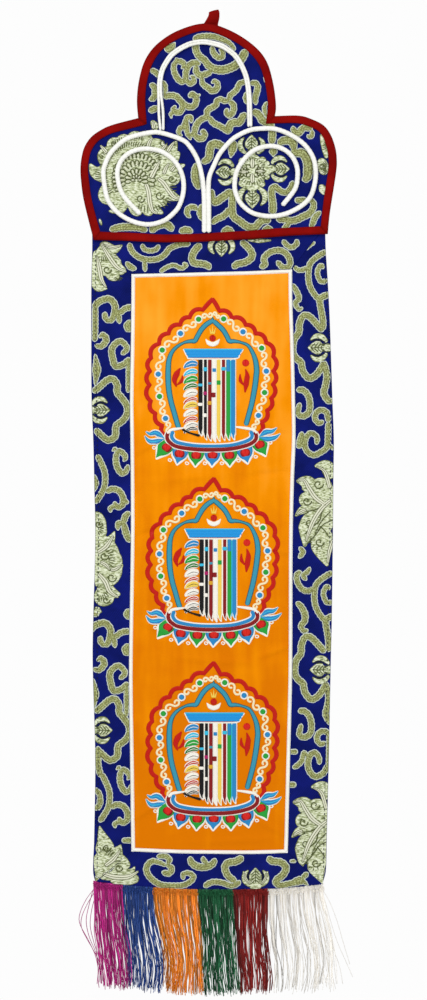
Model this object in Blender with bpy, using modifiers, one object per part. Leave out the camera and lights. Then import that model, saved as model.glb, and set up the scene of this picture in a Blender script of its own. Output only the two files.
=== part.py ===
"""Cloth wall hanging with a bound brocade head, an orange panel in a brocade frame and a coloured fringe.

X runs across the hanging, +Z is up and the front faces -Y. The origin is the point inside the tape eye
that a nail bears on. Sizes are in millimetres and become metres where a mesh or a curve is written.
"""

import math
import random

import bmesh
import bpy

MM = 0.001
GAP = 0.3

CLOTH_THICK = 1.6
PANEL_THICK = 1.4
TAPE_THICK = 0.8
BINDING_WIDTH = 6.8
BINDING_SLOT_DEPTH = 1.4
BINDING_NOSE = 0.9
CORD_RADIUS = 1.7
PIPING_RADIUS = 1.2
PIPING_PROUD = 0.3
PIPING_CORNER = 0.8
LOOP_TAPE_THICK = 1.0

HEADING_HEIGHT = 4.0
HEADING_THICK = 2.2
STRAND_CELL = 2.1
STRAND_GAP = 0.2
STRAND_STEPS = 4
STRAND_LENGTH = 84.0
STRAND_TAPER = 0.82
STRAND_JITTER = 0.09
FRINGE_SEED = 11

# Depths of the layers, counted from the middle of the eye. Each layer clears the next by the gap.
LOOP_LEG_DEPTH = (LOOP_TAPE_THICK + GAP) / 2
LOOP_LEG_X = -2.5
BINDING_HALF = CLOTH_THICK / 2 + GAP + TAPE_THICK
HEAD_DEPTH = -(LOOP_LEG_DEPTH + LOOP_TAPE_THICK / 2 + GAP + BINDING_HALF)
BODY_DEPTH = HEAD_DEPTH + BINDING_HALF + GAP + CLOTH_THICK / 2
CORD_DEPTH = HEAD_DEPTH - CLOTH_THICK / 2 - GAP - CORD_RADIUS
SEAM_HALF = PIPING_RADIUS + GAP

# Head outline, clockwise from the left notch. Columns: x, z.
DOME = [
    (-63.7, -90.3), (-64.7, -75.1), (-62.9, -58.2), (-57.8, -41.4), (-47.7, -27.9), (-30.0, -16.5),
    (-7.2, -10.5), (13.1, -16.0), (32.5, -27.9), (44.3, -41.4), (50.2, -59.9), (52.8, -79.3), (51.9, -88.6),
]
RIGHT_LOBE = [
    (51.9, -88.6), (72.2, -88.2), (84.0, -91.6), (93.3, -96.6), (99.2, -104.7), (103.0, -115.6),
    (104.2, -125.8), (103.4, -137.6), (98.3, -170.5), (96.6, -188.2),
]
BOTTOM = [(96.6, -188.2), (64.6, -189.7), (22.4, -193.1), (-32.5, -195.3), (-78.9, -193.8), (-101.3, -193.3)]
LEFT_LOBE = [
    (-101.3, -193.3), (-109.3, -161.2), (-111.8, -144.3), (-112.4, -132.5), (-111.4, -123.2),
    (-108.9, -114.4), (-103.4, -106.3), (-95.0, -100.2), (-84.8, -95.8), (-63.7, -90.3),
]
HEAD_STRETCHES = [(DOME, 28), (RIGHT_LOBE, 18), (BOTTOM, 14), (LEFT_LOBE, 20)]
HEAD_CENTRE = (-3.0, -130.0)
HEAD_RINGS = (0.3, 0.45)

# Routes of the cords sewn to the head. Columns: x, z.
ARCH_ROUTE = [
    (-43.5, -101.1), (-44.1, -90.3), (-44.6, -80.2), (-45.3, -70.1), (-45.2, -59.9), (-43.0, -49.8),
    (-37.1, -39.7), (-31.6, -34.6), (-24.9, -30.6), (-18.1, -27.9), (-8.0, -26.7), (5.5, -29.5),
    (13.1, -33.9), (19.4, -39.7), (25.2, -49.8), (28.4, -59.9), (30.1, -75.1), (30.6, -98.3),
]
LEFT_SCROLL_ROUTE = [
    (-7.8, -187.4), (-7.8, -172.2), (-7.9, -159.5), (-8.5, -149.4), (-9.7, -140.1), (-13.5, -125.8),
    (-20.7, -113.9), (-27.4, -108.7), (-43.5, -103.4), (-53.6, -103.0), (-70.5, -106.9), (-78.9, -112.1),
    (-86.9, -120.3), (-91.2, -129.1), (-92.9, -137.6), (-90.3, -156.1), (-85.7, -165.0), (-78.9, -171.8),
    (-70.5, -176.8), (-61.2, -179.8), (-51.9, -180.2), (-41.8, -177.2), (-35.0, -172.2), (-29.5, -165.8),
    (-26.2, -157.0), (-25.1, -148.5), (-26.1, -140.1), (-29.5, -131.7), (-35.4, -124.5), (-44.3, -118.8),
    (-53.6, -116.8), (-62.9, -117.1), (-71.3, -120.3), (-77.6, -126.2), (-80.8, -134.2), (-80.6, -142.6),
    (-78.1, -151.9), (-72.6, -160.4), (-61.6, -171.8),
]
RIGHT_SCROLL_ROUTE = [
    (-3.9, -187.4), (-3.9, -172.2), (-4.0, -159.5), (-4.3, -149.4), (-3.5, -140.1), (0.3, -130.8),
    (5.3, -120.7), (13.9, -110.6), (20.7, -105.5), (30.8, -100.9), (40.9, -99.6), (51.1, -99.8),
    (61.2, -103.0), (71.3, -108.7), (78.9, -115.6), (84.3, -124.9), (86.2, -135.0), (85.5, -145.2),
    (82.3, -155.7), (76.4, -162.9), (67.9, -168.4), (59.5, -171.8), (49.4, -173.5), (39.2, -172.6),
    (30.8, -169.6), (22.8, -162.5), (18.7, -154.0), (17.8, -146.0), (19.5, -135.9), (24.9, -126.6),
    (32.5, -119.0), (40.9, -115.3), (50.2, -114.4), (59.5, -117.3), (66.3, -123.2), (70.3, -131.7),
    (70.8, -140.9), (68.3, -151.1), (57.8, -164.6),
]
CORDS = [
    ("arch_cord", ARCH_ROUTE, 40),
    ("left_scroll_cord", LEFT_SCROLL_ROUTE, 66),
    ("right_scroll_cord", RIGHT_SCROLL_ROUTE, 62),
]

# Sides of the body. Columns: drop below the eye, left edge, right edge.
BODY_SIDES = [
    (181.0, -102.6, 94.4), (202.0, -102.6, 95.0), (227.0, -103.3, 96.6), (261.0, -103.4, 98.3),
    (328.0, -103.1, 100.5), (362.0, -101.7, 101.7), (396.0, -100.9, 101.3), (446.0, -100.0, 100.9),
    (514.0, -101.7, 100.0), (548.0, -102.2, 99.2), (632.0, -100.0, 97.5), (700.0, -100.9, 95.8),
    (727.0, -101.7, 95.0), (736.2, -99.6, 92.6),
]
# Seam round the panel, where the piping lies. Columns: drop below the eye, left seam, right seam.
SEAM_SIDES = [
    (219.0, -67.8, 64.9), (244.0, -67.9, 65.1), (286.0, -68.4, 66.4), (328.0, -69.1, 67.4),
    (362.0, -68.7, 67.8), (396.0, -68.4, 66.5), (446.0, -68.3, 65.4), (560.0, -69.9, 64.9),
    (632.0, -69.0, 63.2), (700.0, -68.1, 61.5), (710.0, -67.9, 61.2),
]
# Top and bottom. Columns: x, top edge, top seam, bottom seam, hem.
BODY_ENDS = [
    (-103.0, -186.0, -224.3, -707.4, -735.0), (-68.0, -185.2, -223.2, -708.5, -739.3),
    (-34.0, -184.3, -222.5, -709.5, -741.2), (0.0, -183.5, -221.6, -710.1, -741.9),
    (31.0, -182.8, -220.8, -710.1, -741.4), (65.0, -182.0, -219.3, -709.3, -740.4),
    (95.0, -181.2, -218.0, -708.3, -738.0),
]
LEFT, RIGHT = 1, 2
TOP_EDGE, TOP_SEAM, BOTTOM_SEAM, HEM = 1, 2, 3, 4

# Sections of the folded tape from its front end to its back end. Columns: y, z, middle x, width, rise.
LOOP_SECTIONS = [
    (-LOOP_LEG_DEPTH, -18.0, LOOP_LEG_X, 12.6, 0.0), (-LOOP_LEG_DEPTH, -11.5, LOOP_LEG_X, 12.6, 0.0),
    (-1.9, -8.6, -1.4, 11.2, 0.0), (-3.1, -6.2, -0.4, 10.2, 0.0), (-3.4, -3.6, 0.4, 9.4, 0.6),
    (-3.0, -1.4, 0.5, 9.0, 1.2), (-1.5, 0.1, 0.2, 8.4, 2.0), (0.0, 0.5, 0.0, 7.8, 2.3),
    (1.5, 0.1, 0.2, 8.4, 2.0), (3.0, -1.4, 0.5, 9.0, 1.2), (3.4, -3.6, 0.4, 9.4, 0.6),
    (3.1, -6.2, -0.4, 10.2, 0.0), (1.9, -8.6, -1.4, 11.2, 0.0),
    (LOOP_LEG_DEPTH, -11.5, LOOP_LEG_X, 12.6, 0.0), (LOOP_LEG_DEPTH, -18.0, LOOP_LEG_X, 12.6, 0.0),
]

# Lengths of fringe. Columns: name, root left, root right, end left, end right, colour.
FRINGES = [
    ("fringe_magenta", -101.4, -77.4, -98.6, -74.6, "#B0127A"),
    ("fringe_blue", -77.0, -51.3, -73.4, -42.6, "#284E7D"),
    ("fringe_orange", -50.9, -13.7, -41.2, -8.4, "#E2832E"),
    ("fringe_green", -13.3, 16.2, -7.2, 19.6, "#1F5A3C"),
    ("fringe_dark_red", 16.6, 45.8, 20.8, 46.8, "#8A1218"),
    ("fringe_white", 46.2, 93.2, 48.4, 107.5, "#F4EFE6"),
]

BROCADE_BLUE = "#1C2280"
PANEL_ORANGE = "#F69A1E"
TAPE_RED = "#821114"
CORD_WHITE = "#F4F4EA"


def clamped(value):
    """The value held between 0 and 1."""
    return min(max(value, 0.0), 1.0)


def eased(value):
    """A smooth step from 0 to 1."""
    t = clamped(value)
    return t * t * (3.0 - 2.0 * t)


def drape(x, z):
    """Depth of the hanging cloth at a place: a shallow bow in the head, upright waves and a slight belly."""
    below_head = eased((-z - 195.0) / 150.0)
    near_hem = eased((-z - 600.0) / 140.0)
    bow = 0.7 * (1.0 - math.cos((x - LOOP_LEG_X) / 40.0)) * (1.0 - below_head)
    waves = 1.3 * math.sin(x / 24.0 + z / 260.0 + 0.5) * below_head
    hem_waves = 1.1 * math.sin(x / 13.0 + 1.0) * near_hem
    across = math.cos(min(abs(x) / 105.0, 1.0) * math.pi / 2.0)
    belly = -1.6 * across * math.sin(math.pi * clamped((-z - 195.0) / 545.0))
    return bow + waves + hem_waves + belly


def look_up(rows, key, column):
    """A column's value at a key, on a smooth curve through the table's rows."""
    last = len(rows) - 1
    i = 0
    while i < last - 1 and rows[i + 1][0] < key:
        i += 1
    before, here = rows[max(i - 1, 0)], rows[i]
    there, after = rows[i + 1], rows[min(i + 2, last)]
    span = there[0] - here[0]
    t = clamped((key - here[0]) / span)
    slope_here = span * (there[column] - before[column]) / (there[0] - before[0])
    slope_there = span * (after[column] - here[column]) / (after[0] - here[0])
    rise = there[column] - here[column]
    return (
        here[column]
        + slope_here * t
        + (3.0 * rise - 2.0 * slope_here - slope_there) * t**2
        + (slope_here + slope_there - 2.0 * rise) * t**3
    )


def side_at(rows, z, column):
    """X of a side table's edge at a height."""
    return look_up(rows, -z, column)


def end_at(x, column):
    """Z of the body's top, hem or seam at a place across it."""
    return look_up(BODY_ENDS, x, column)


def smooth_path(points, count):
    """Evenly spaced points on a Catmull-Rom curve through the given ones."""
    fine_steps = 16
    last = len(points) - 1
    dense = []
    for i in range(last):
        stretch = (points[max(i - 1, 0)], points[i], points[i + 1], points[min(i + 2, last)])
        for k in range(fine_steps):
            t = k / fine_steps
            dense.append(
                tuple(
                    0.5 * (2 * b + (c - a) * t + (2 * a - 5 * b + 4 * c - d) * t**2 + (3 * b - a - 3 * c + d) * t**3)
                    for a, b, c, d in zip(*stretch)
                )
            )
    dense.append(points[last])
    along = [0.0]
    for here, there in zip(dense, dense[1:]):
        along.append(along[-1] + math.dist(here, there))
    even = []
    k = 0
    for i in range(count):
        target = along[-1] * i / (count - 1)
        while k < len(dense) - 2 and along[k + 1] < target:
            k += 1
        share = (target - along[k]) / (along[k + 1] - along[k])
        even.append(tuple(a + (b - a) * share for a, b in zip(dense[k], dense[k + 1])))
    return even


def head_outline():
    """Points round the head's outer edge, clockwise from the left notch."""
    ring = []
    for points, count in HEAD_STRETCHES:
        ring.extend(smooth_path(points, count + 1)[:-1])
    return ring


def inward_steps(ring):
    """For each point of a clockwise ring, the step that moves both its sides 1 mm inwards."""
    steps = []
    for before, here, after in zip(ring[-1:] + ring[:-1], ring, ring[1:] + ring[:1]):
        normals = []
        for a, b in ((before, here), (here, after)):
            length = math.dist(a, b)
            normals.append(((b[1] - a[1]) / length, (a[0] - b[0]) / length))
        (ux, uz), (vx, vz) = normals
        widen = 1.0 + ux * vx + uz * vz
        steps.append(((ux + vx) / widen, (uz + vz) / widen))
    return steps


def linear(channel):
    """One sRGB channel as linear light."""
    return channel / 12.92 if channel <= 0.04045 else ((channel + 0.055) / 1.055) ** 2.4


def cloth_finish(name, colour, roughness):
    """A Principled material of one sRGB colour."""
    material = bpy.data.materials.new(name)
    material.use_nodes = True
    shader = material.node_tree.nodes["Principled BSDF"]
    red, green, blue = (linear(int(colour[i : i + 2], 16) / 255.0) for i in (1, 3, 5))
    shader.inputs["Base Color"].default_value = (red, green, blue, 1.0)
    shader.inputs["Roughness"].default_value = roughness
    shader.inputs["Metallic"].default_value = 0.0
    return material


def add_piece(parts, eye, name, data, colour, roughness):
    """Puts a mesh or a curve into the scene as one piece of the hanging."""
    piece = bpy.data.objects.new(name, data)
    data.materials.append(cloth_finish(name, colour, roughness))
    parts.objects.link(piece)
    piece.parent = eye
    return piece


def scaled_mesh(bm, name):
    """Turns an edit mesh in millimetres into a mesh in metres with its faces pointing out."""
    bmesh.ops.scale(bm, vec=(MM, MM, MM), verts=bm.verts)
    bmesh.ops.recalc_face_normals(bm, faces=bm.faces)
    mesh = bpy.data.meshes.new(name)
    bm.to_mesh(mesh)
    bm.free()
    return mesh


def thicken(piece, thickness):
    """Gives a sheet its thickness, half to each side."""
    wall = piece.modifiers.new("cloth_thickness", "SOLIDIFY")
    wall.thickness = thickness * MM
    wall.offset = 0.0
    wall.use_even_offset = True


def sheet_between(name, columns, rows, place):
    """A grid whose points go where place says, from their shares across and down."""
    bm = bmesh.new()
    bmesh.ops.create_grid(bm, x_segments=columns, y_segments=rows, size=0.5)
    for vert in bm.verts:
        x, z, depth = place(vert.co.x + 0.5, 0.5 - vert.co.y)
        vert.co = (x, depth + drape(x, z), z)
    return scaled_mesh(bm, name)


def skin(name, sections, closed):
    """A solid through a row of sections with the same number of points, joined end to end or capped."""
    bm = bmesh.new()
    loops = [[bm.verts.new(point) for point in section] for section in sections]
    pairs = list(zip(loops, loops[1:]))
    if closed:
        pairs.append((loops[-1], loops[0]))
    else:
        bm.faces.new(loops[0])
        bm.faces.new(loops[-1])
    count = len(loops[0])
    for here, there in pairs:
        for i in range(count):
            k = (i + 1) % count
            bm.faces.new((here[i], here[k], there[k], there[i]))
    return scaled_mesh(bm, name)


def mixed(a, b, share):
    """The value a share of the way from a to b."""
    return a + (b - a) * share


def build_head_cloth(parts, eye, ring, steps):
    """The brocade head: a disc of rings pushed out to the binding's slot."""
    edge_in = BINDING_SLOT_DEPTH + GAP
    rim = [(x + edge_in * sx, z + edge_in * sz) for (x, z), (sx, sz) in zip(ring, steps)]
    count = len(rim)
    bm = bmesh.new()
    bmesh.ops.create_circle(bm, cap_ends=True, segments=count, radius=1.0)
    middle = bm.faces[:]
    for inset in HEAD_RINGS:
        bmesh.ops.inset_region(bm, faces=middle, thickness=inset, use_even_offset=True, use_boundary=True)
    bmesh.ops.poke(bm, faces=middle)
    cx, cz = HEAD_CENTRE
    for vert in bm.verts:
        turn = math.atan2(vert.co.y, vert.co.x) / (2.0 * math.pi)
        reach = min(math.hypot(vert.co.x, vert.co.y), 1.0)
        edge_x, edge_z = rim[round(-turn * count) % count]
        x, z = mixed(cx, edge_x, reach), mixed(cz, edge_z, reach)
        vert.co = (x, HEAD_DEPTH + drape(x, z), z)
    piece = add_piece(parts, eye, "head_cloth", scaled_mesh(bm, "head_cloth"), BROCADE_BLUE, 0.55)
    thicken(piece, CLOTH_THICK)


def build_head_binding(parts, eye, ring, steps):
    """The tape folded round the head's edge: a U section carried round the outline, mitred at corners."""
    slot = CLOTH_THICK / 2 + GAP
    half = BINDING_HALF
    width = BINDING_WIDTH
    profile = [
        (width, -slot), (width, -half), (BINDING_NOSE, -half), (0.0, 0.0), (BINDING_NOSE, half),
        (width, half), (width, slot), (BINDING_SLOT_DEPTH, slot), (BINDING_SLOT_DEPTH, -slot),
    ]
    sections = []
    for (x, z), (sx, sz) in zip(ring, steps):
        section = []
        for inward, depth in profile:
            px, pz = x + inward * sx, z + inward * sz
            section.append((px, HEAD_DEPTH + drape(px, pz) + depth, pz))
        sections.append(section)
    add_piece(parts, eye, "head_binding", skin("head_binding", sections, True), TAPE_RED, 0.6)


def build_hanging_loop(parts, eye):
    """The tape folded over into an eye, its two legs sewn behind the binding at the top of the dome."""
    rows = LOOP_SECTIONS
    last = len(rows) - 1
    sections = []
    for i, (y, z, middle, width, rise) in enumerate(rows):
        before, after = rows[max(i - 1, 0)], rows[min(i + 1, last)]
        run_y, run_z = after[0] - before[0], after[1] - before[1]
        length = math.hypot(run_y, run_z)
        out_y, out_z = -run_z / length * LOOP_TAPE_THICK / 2, run_y / length * LOOP_TAPE_THICK / 2
        section = []
        for side, face in ((-1, -1), (1, -1), (1, 1), (-1, 1)):
            x = middle + side * width / 2
            section.append((x, y + face * out_y, z + face * out_z + side * rise / 2))
        sections.append(section)
    add_piece(parts, eye, "hanging_loop", skin("hanging_loop", sections, False), TAPE_RED, 0.6)


def round_line(name, points, radius, sides, closed):
    """A round cord on a run of straight pieces through the points."""
    curve = bpy.data.curves.new(name, "CURVE")
    curve.dimensions = "3D"
    curve.bevel_depth = radius * MM
    curve.bevel_resolution = (sides - 4) // 2
    curve.use_fill_caps = True
    line = curve.splines.new("POLY")
    line.points.add(len(points) - 1)
    for slot, (x, y, z) in zip(line.points, points):
        slot.co = (x * MM, y * MM, z * MM, 1.0)
    line.use_cyclic_u = closed
    return curve


def build_cords(parts, eye):
    """The three white cords sewn on the front of the head."""
    for name, route, count in CORDS:
        points = [(x, CORD_DEPTH + drape(x, z), z) for x, z in smooth_path(route, count)]
        curve = round_line(name, points, CORD_RADIUS, 8, False)
        add_piece(parts, eye, name, curve, CORD_WHITE, 0.7)


def panel_place(across, down):
    """Where a point of the orange panel lies."""
    z = mixed(end_at(0.0, TOP_SEAM), end_at(0.0, BOTTOM_SEAM), down)
    left = side_at(SEAM_SIDES, z, LEFT) + SEAM_HALF
    right = side_at(SEAM_SIDES, z, RIGHT) - SEAM_HALF
    x = mixed(left, right, across)
    top = end_at(x, TOP_SEAM) - SEAM_HALF
    bottom = end_at(x, BOTTOM_SEAM) + SEAM_HALF
    return x, mixed(top, bottom, down), BODY_DEPTH


def build_centre_panel(parts, eye):
    """The orange satin panel inside the piping."""
    mesh = sheet_between("centre_panel", 9, 24, panel_place)
    piece = add_piece(parts, eye, "centre_panel", mesh, PANEL_ORANGE, 0.42)
    thicken(piece, PANEL_THICK)


def side_strip_place(column):
    """The place function of the left or the right border strip, from its outer to its inner edge."""
    outwards = -1.0 if column == LEFT else 1.0
    corner_x = side_at(BODY_SIDES, -720.0, column)
    inner_x = side_at(SEAM_SIDES, -470.0, column)

    def place(across, down):
        outer_z = mixed(end_at(corner_x, TOP_EDGE) - GAP, end_at(corner_x, HEM) + GAP, down)
        inner_z = mixed(
            end_at(inner_x, TOP_SEAM) + SEAM_HALF - GAP, end_at(inner_x, BOTTOM_SEAM) - SEAM_HALF + GAP, down
        )
        outer_x = side_at(BODY_SIDES, outer_z, column)
        seam_x = side_at(SEAM_SIDES, inner_z, column) + outwards * SEAM_HALF
        return mixed(outer_x, seam_x, across), mixed(outer_z, inner_z, across), BODY_DEPTH

    return place


def end_strip_place(outer_column, seam_column):
    """The place function of the top or the bottom border strip, from its outer to its inner edge."""
    outwards = 1.0 if outer_column == TOP_EDGE else -1.0
    outer_z = end_at(0.0, outer_column)
    seam_z = end_at(0.0, seam_column)

    def place(across, down):
        outer_x = mixed(side_at(BODY_SIDES, outer_z, LEFT), side_at(BODY_SIDES, outer_z, RIGHT), across)
        seam_x = mixed(
            side_at(SEAM_SIDES, seam_z, LEFT) - SEAM_HALF, side_at(SEAM_SIDES, seam_z, RIGHT) + SEAM_HALF, across
        )
        strip_z = mixed(end_at(outer_x, outer_column), end_at(seam_x, seam_column) + outwards * SEAM_HALF, down)
        return mixed(outer_x, seam_x, down), strip_z, BODY_DEPTH

    return place


def build_borders(parts, eye):
    """The four mitred strips of brocade that frame the panel."""
    strips = [
        ("border_left", 2, 26, side_strip_place(LEFT)),
        ("border_right", 2, 26, side_strip_place(RIGHT)),
        ("border_top", 10, 2, end_strip_place(TOP_EDGE, TOP_SEAM)),
        ("border_bottom", 12, 2, end_strip_place(HEM, BOTTOM_SEAM)),
    ]
    for name, columns, rows, place in strips:
        mesh = sheet_between(name, columns, rows, place)
        piece = add_piece(parts, eye, name, mesh, BROCADE_BLUE, 0.55)
        thicken(piece, CLOTH_THICK)


def seam_ring():
    """Points round the panel's seam, clockwise from the top left, with small bends at the corners."""
    side_steps, end_steps = 24, 8
    left_x, right_x = side_at(SEAM_SIDES, -250.0, LEFT), side_at(SEAM_SIDES, -250.0, RIGHT)
    low_left_x, low_right_x = side_at(SEAM_SIDES, -710.0, LEFT), side_at(SEAM_SIDES, -710.0, RIGHT)
    ring = []
    for i in range(end_steps + 1):
        x = mixed(left_x + PIPING_CORNER, right_x - PIPING_CORNER, i / end_steps)
        ring.append((x, end_at(x, TOP_SEAM)))
    top, bottom = end_at(right_x, TOP_SEAM), end_at(low_right_x, BOTTOM_SEAM)
    for i in range(side_steps + 1):
        z = mixed(top - PIPING_CORNER, bottom + PIPING_CORNER, i / side_steps)
        ring.append((side_at(SEAM_SIDES, z, RIGHT), z))
    for i in range(end_steps + 1):
        x = mixed(low_right_x - PIPING_CORNER, low_left_x + PIPING_CORNER, i / end_steps)
        ring.append((x, end_at(x, BOTTOM_SEAM)))
    top, bottom = end_at(left_x, TOP_SEAM), end_at(low_left_x, BOTTOM_SEAM)
    for i in range(side_steps + 1):
        z = mixed(bottom + PIPING_CORNER, top - PIPING_CORNER, i / side_steps)
        ring.append((side_at(SEAM_SIDES, z, LEFT), z))
    return ring


def build_panel_piping(parts, eye):
    """The white piping caught in the seam between the panel and its frame."""
    points = [(x, BODY_DEPTH - PIPING_PROUD + drape(x, z), z) for x, z in seam_ring()]
    curve = round_line("panel_piping", points, PIPING_RADIUS, 6, True)
    add_piece(parts, eye, "panel_piping", curve, CORD_WHITE, 0.7)


def fringe_sway(x, down):
    """How far a strand swings across and forward at a share of its length."""
    across = 1.5 * down * math.sin(6.5 * down + x / 19.0)
    forward = 1.6 * down * math.sin(4.2 * down + x / 15.0 + 0.7)
    return across, forward


def build_fringe(parts, eye, row, chance):
    """One colour of fringe: a heading strip with strands drawn down from its under side."""
    name, root_left, root_right, end_left, end_right, colour = row
    cells = round((root_right - root_left) / STRAND_CELL)
    bm = bmesh.new()
    bmesh.ops.create_grid(bm, x_segments=cells, y_segments=1, size=0.5)
    half_cell = 0.5 / (cells + 0.5)
    for vert in bm.verts:
        share = (vert.co.x + 0.5) * (1.0 - half_cell) + (half_cell if vert.co.y > 0.0 else 0.0)
        x = mixed(root_left, root_right, share)
        hem = end_at(x, HEM)
        depth = BODY_DEPTH + drape(x, hem) + HEADING_THICK * vert.co.y
        vert.co = (x, depth, hem - GAP - HEADING_HEIGHT)
    bmesh.ops.triangulate(bm, faces=bm.faces, quad_method="SHORT_EDGE")
    tips = bm.faces[:]
    raised = bmesh.ops.extrude_face_region(bm, geom=tips)
    raised_verts = [item for item in raised["geom"] if isinstance(item, bmesh.types.BMVert)]
    bmesh.ops.translate(bm, vec=(0.0, 0.0, HEADING_HEIGHT), verts=raised_verts)
    bmesh.ops.inset_individual(bm, faces=tips, thickness=STRAND_GAP, use_even_offset=True)

    strand_of = bm.verts.layers.int.new("strand")
    root_x = bm.verts.layers.float.new("root_x")
    root_y = bm.verts.layers.float.new("root_y")
    middles = []
    lengths = []
    for number, face in enumerate(tips):
        middle = face.calc_center_median()
        middles.append((middle.x, middle.y, middle.z))
        lengths.append(STRAND_LENGTH + chance.uniform(-4.0, 2.5))
        for vert in face.verts:
            vert[strand_of] = number
            vert[root_x] = vert.co.x - middle.x
            vert[root_y] = vert.co.y - middle.y
    spread = (end_right - end_left) / (root_right - root_left)
    for step in range(1, STRAND_STEPS + 1):
        down = step / STRAND_STEPS
        grown = bmesh.ops.extrude_face_region(bm, geom=tips)["geom"]
        bmesh.ops.delete(bm, geom=tips, context="FACES_ONLY")
        tips = [item for item in grown if isinstance(item, bmesh.types.BMFace)]
        shifts = [chance.uniform(-STRAND_JITTER, STRAND_JITTER) for _ in middles]
        taper = mixed(1.0, STRAND_TAPER, down)
        squeeze = mixed(1.0, min(spread, 1.0), eased(down)) * taper
        for vert in (item for item in grown if isinstance(item, bmesh.types.BMVert)):
            number = vert[strand_of]
            x, y, z = middles[number]
            hung_x = mixed(x, mixed(end_left, end_right, (x - root_left) / (root_right - root_left)), eased(down))
            across, forward = fringe_sway(x, down)
            vert.co = (
                hung_x + across + shifts[number] + vert[root_x] * squeeze,
                y + forward + vert[root_y] * taper,
                z - lengths[number] * down,
            )
    add_piece(parts, eye, name, scaled_mesh(bm, name), colour, 0.5)


def build_fringes(parts, eye):
    """The six lengths of fringe under the hem."""
    chance = random.Random(FRINGE_SEED)
    for row in FRINGES:
        build_fringe(parts, eye, row, chance)


def main():
    """Clears the scene and builds the whole hanging."""
    for old in list(bpy.data.objects):
        bpy.data.objects.remove(old)
    parts = bpy.data.collections.new("buddhist_wall_hanging")
    bpy.context.scene.collection.children.link(parts)
    eye = bpy.data.objects.new("hanging_eye", None)
    parts.objects.link(eye)
    ring = head_outline()
    steps = inward_steps(ring)
    build_head_cloth(parts, eye, ring, steps)
    build_head_binding(parts, eye, ring, steps)
    build_hanging_loop(parts, eye)
    build_cords(parts, eye)
    build_centre_panel(parts, eye)
    build_borders(parts, eye)
    build_panel_piping(parts, eye)
    build_fringes(parts, eye)


main()
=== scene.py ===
"""Looks of a buddhist wall hanging: brocade, satin, tape, cords, embroidery and fringe in one frame."""

import logging
import math
from dataclasses import dataclass, replace
from enum import Enum, IntEnum
from typing import Callable

import bpy
import numpy as np
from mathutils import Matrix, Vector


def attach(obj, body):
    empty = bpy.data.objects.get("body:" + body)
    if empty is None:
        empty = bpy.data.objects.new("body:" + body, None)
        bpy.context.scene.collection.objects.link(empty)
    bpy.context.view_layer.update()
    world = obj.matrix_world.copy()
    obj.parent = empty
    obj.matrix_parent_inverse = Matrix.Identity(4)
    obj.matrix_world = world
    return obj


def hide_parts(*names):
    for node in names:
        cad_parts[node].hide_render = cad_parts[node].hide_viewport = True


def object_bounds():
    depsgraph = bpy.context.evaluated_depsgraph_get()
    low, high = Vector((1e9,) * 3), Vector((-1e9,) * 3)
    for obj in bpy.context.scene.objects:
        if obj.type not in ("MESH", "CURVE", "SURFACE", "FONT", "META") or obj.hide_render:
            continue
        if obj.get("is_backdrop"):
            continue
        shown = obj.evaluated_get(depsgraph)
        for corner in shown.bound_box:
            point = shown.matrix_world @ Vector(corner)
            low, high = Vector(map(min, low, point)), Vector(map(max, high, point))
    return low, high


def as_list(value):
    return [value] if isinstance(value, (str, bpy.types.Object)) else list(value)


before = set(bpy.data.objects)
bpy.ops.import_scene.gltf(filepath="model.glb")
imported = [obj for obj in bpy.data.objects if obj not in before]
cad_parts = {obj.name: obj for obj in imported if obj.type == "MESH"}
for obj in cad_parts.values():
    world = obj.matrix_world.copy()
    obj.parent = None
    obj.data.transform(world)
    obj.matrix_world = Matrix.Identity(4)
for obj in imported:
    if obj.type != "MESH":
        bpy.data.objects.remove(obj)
CAD_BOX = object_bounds()

LOG = logging.getLogger("wall_hanging")
Array = np.ndarray
Tree = bpy.types.NodeTree
Socket = bpy.types.NodeSocket
Piece = bpy.types.Object
Places = tuple[tuple[float, float], ...]
Place = Callable[[Array, Array], tuple[Array, Array]]

MM = 0.001
THREAD_SEED = 4107
UNDYED = (1.0, 1.0, 1.0)
# Painted glow: emission strength of the fringe threads' own colour, stronger for the white threads.
THREAD_PAINTED_GLOW = 0.08
WHITE_PAINTED_GLOW = 0.14
CREASE_GAIN = 1.4

# The weaver's chart: one cell is 0.844 mm, and this cell lies at the inside top of the tape eye.
CELL = 0.844
CHART_ORIGIN = (213.5, 11.0)
KNOB_HALF = 0.3

# Sizes in millimetres.
GAP = 0.3
LAP = 0.35
CLOTH_THICK = 1.6
PANEL_THICK = 1.4
HEAD_DEPTH = -3.35
BODY_DEPTH = -0.35
CORD_DEPTH = -6.15
SEAM_HALF = 1.5
HEAD_CENTRE = (-3.0, -130.0)
DOME = (
    (-63.7, -90.3), (-64.7, -75.1), (-62.9, -58.2), (-57.8, -41.4), (-47.7, -27.9), (-30.0, -16.5),
    (-7.2, -10.5), (13.1, -16.0), (32.5, -27.9), (44.3, -41.4), (50.2, -59.9), (52.8, -79.3), (51.9, -88.6),
)
RIGHT_LOBE = (
    (51.9, -88.6), (72.2, -88.2), (84.0, -91.6), (93.3, -96.6), (99.2, -104.7), (103.0, -115.6),
    (104.2, -125.8), (103.4, -137.6), (98.3, -170.5), (96.6, -188.2),
)
HEAD_BOTTOM = (
    (96.6, -188.2), (64.6, -189.7), (22.4, -193.1), (-32.5, -195.3), (-78.9, -193.8), (-101.3, -193.3),
)
LEFT_LOBE = (
    (-101.3, -193.3), (-109.3, -161.2), (-111.8, -144.3), (-112.4, -132.5), (-111.4, -123.2),
    (-108.9, -114.4), (-103.4, -106.3), (-95.0, -100.2), (-84.8, -95.8), (-63.7, -90.3),
)
HEAD_STRETCHES = ((DOME, 112), (RIGHT_LOBE, 72), (HEAD_BOTTOM, 72), (LEFT_LOBE, 80))

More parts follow.
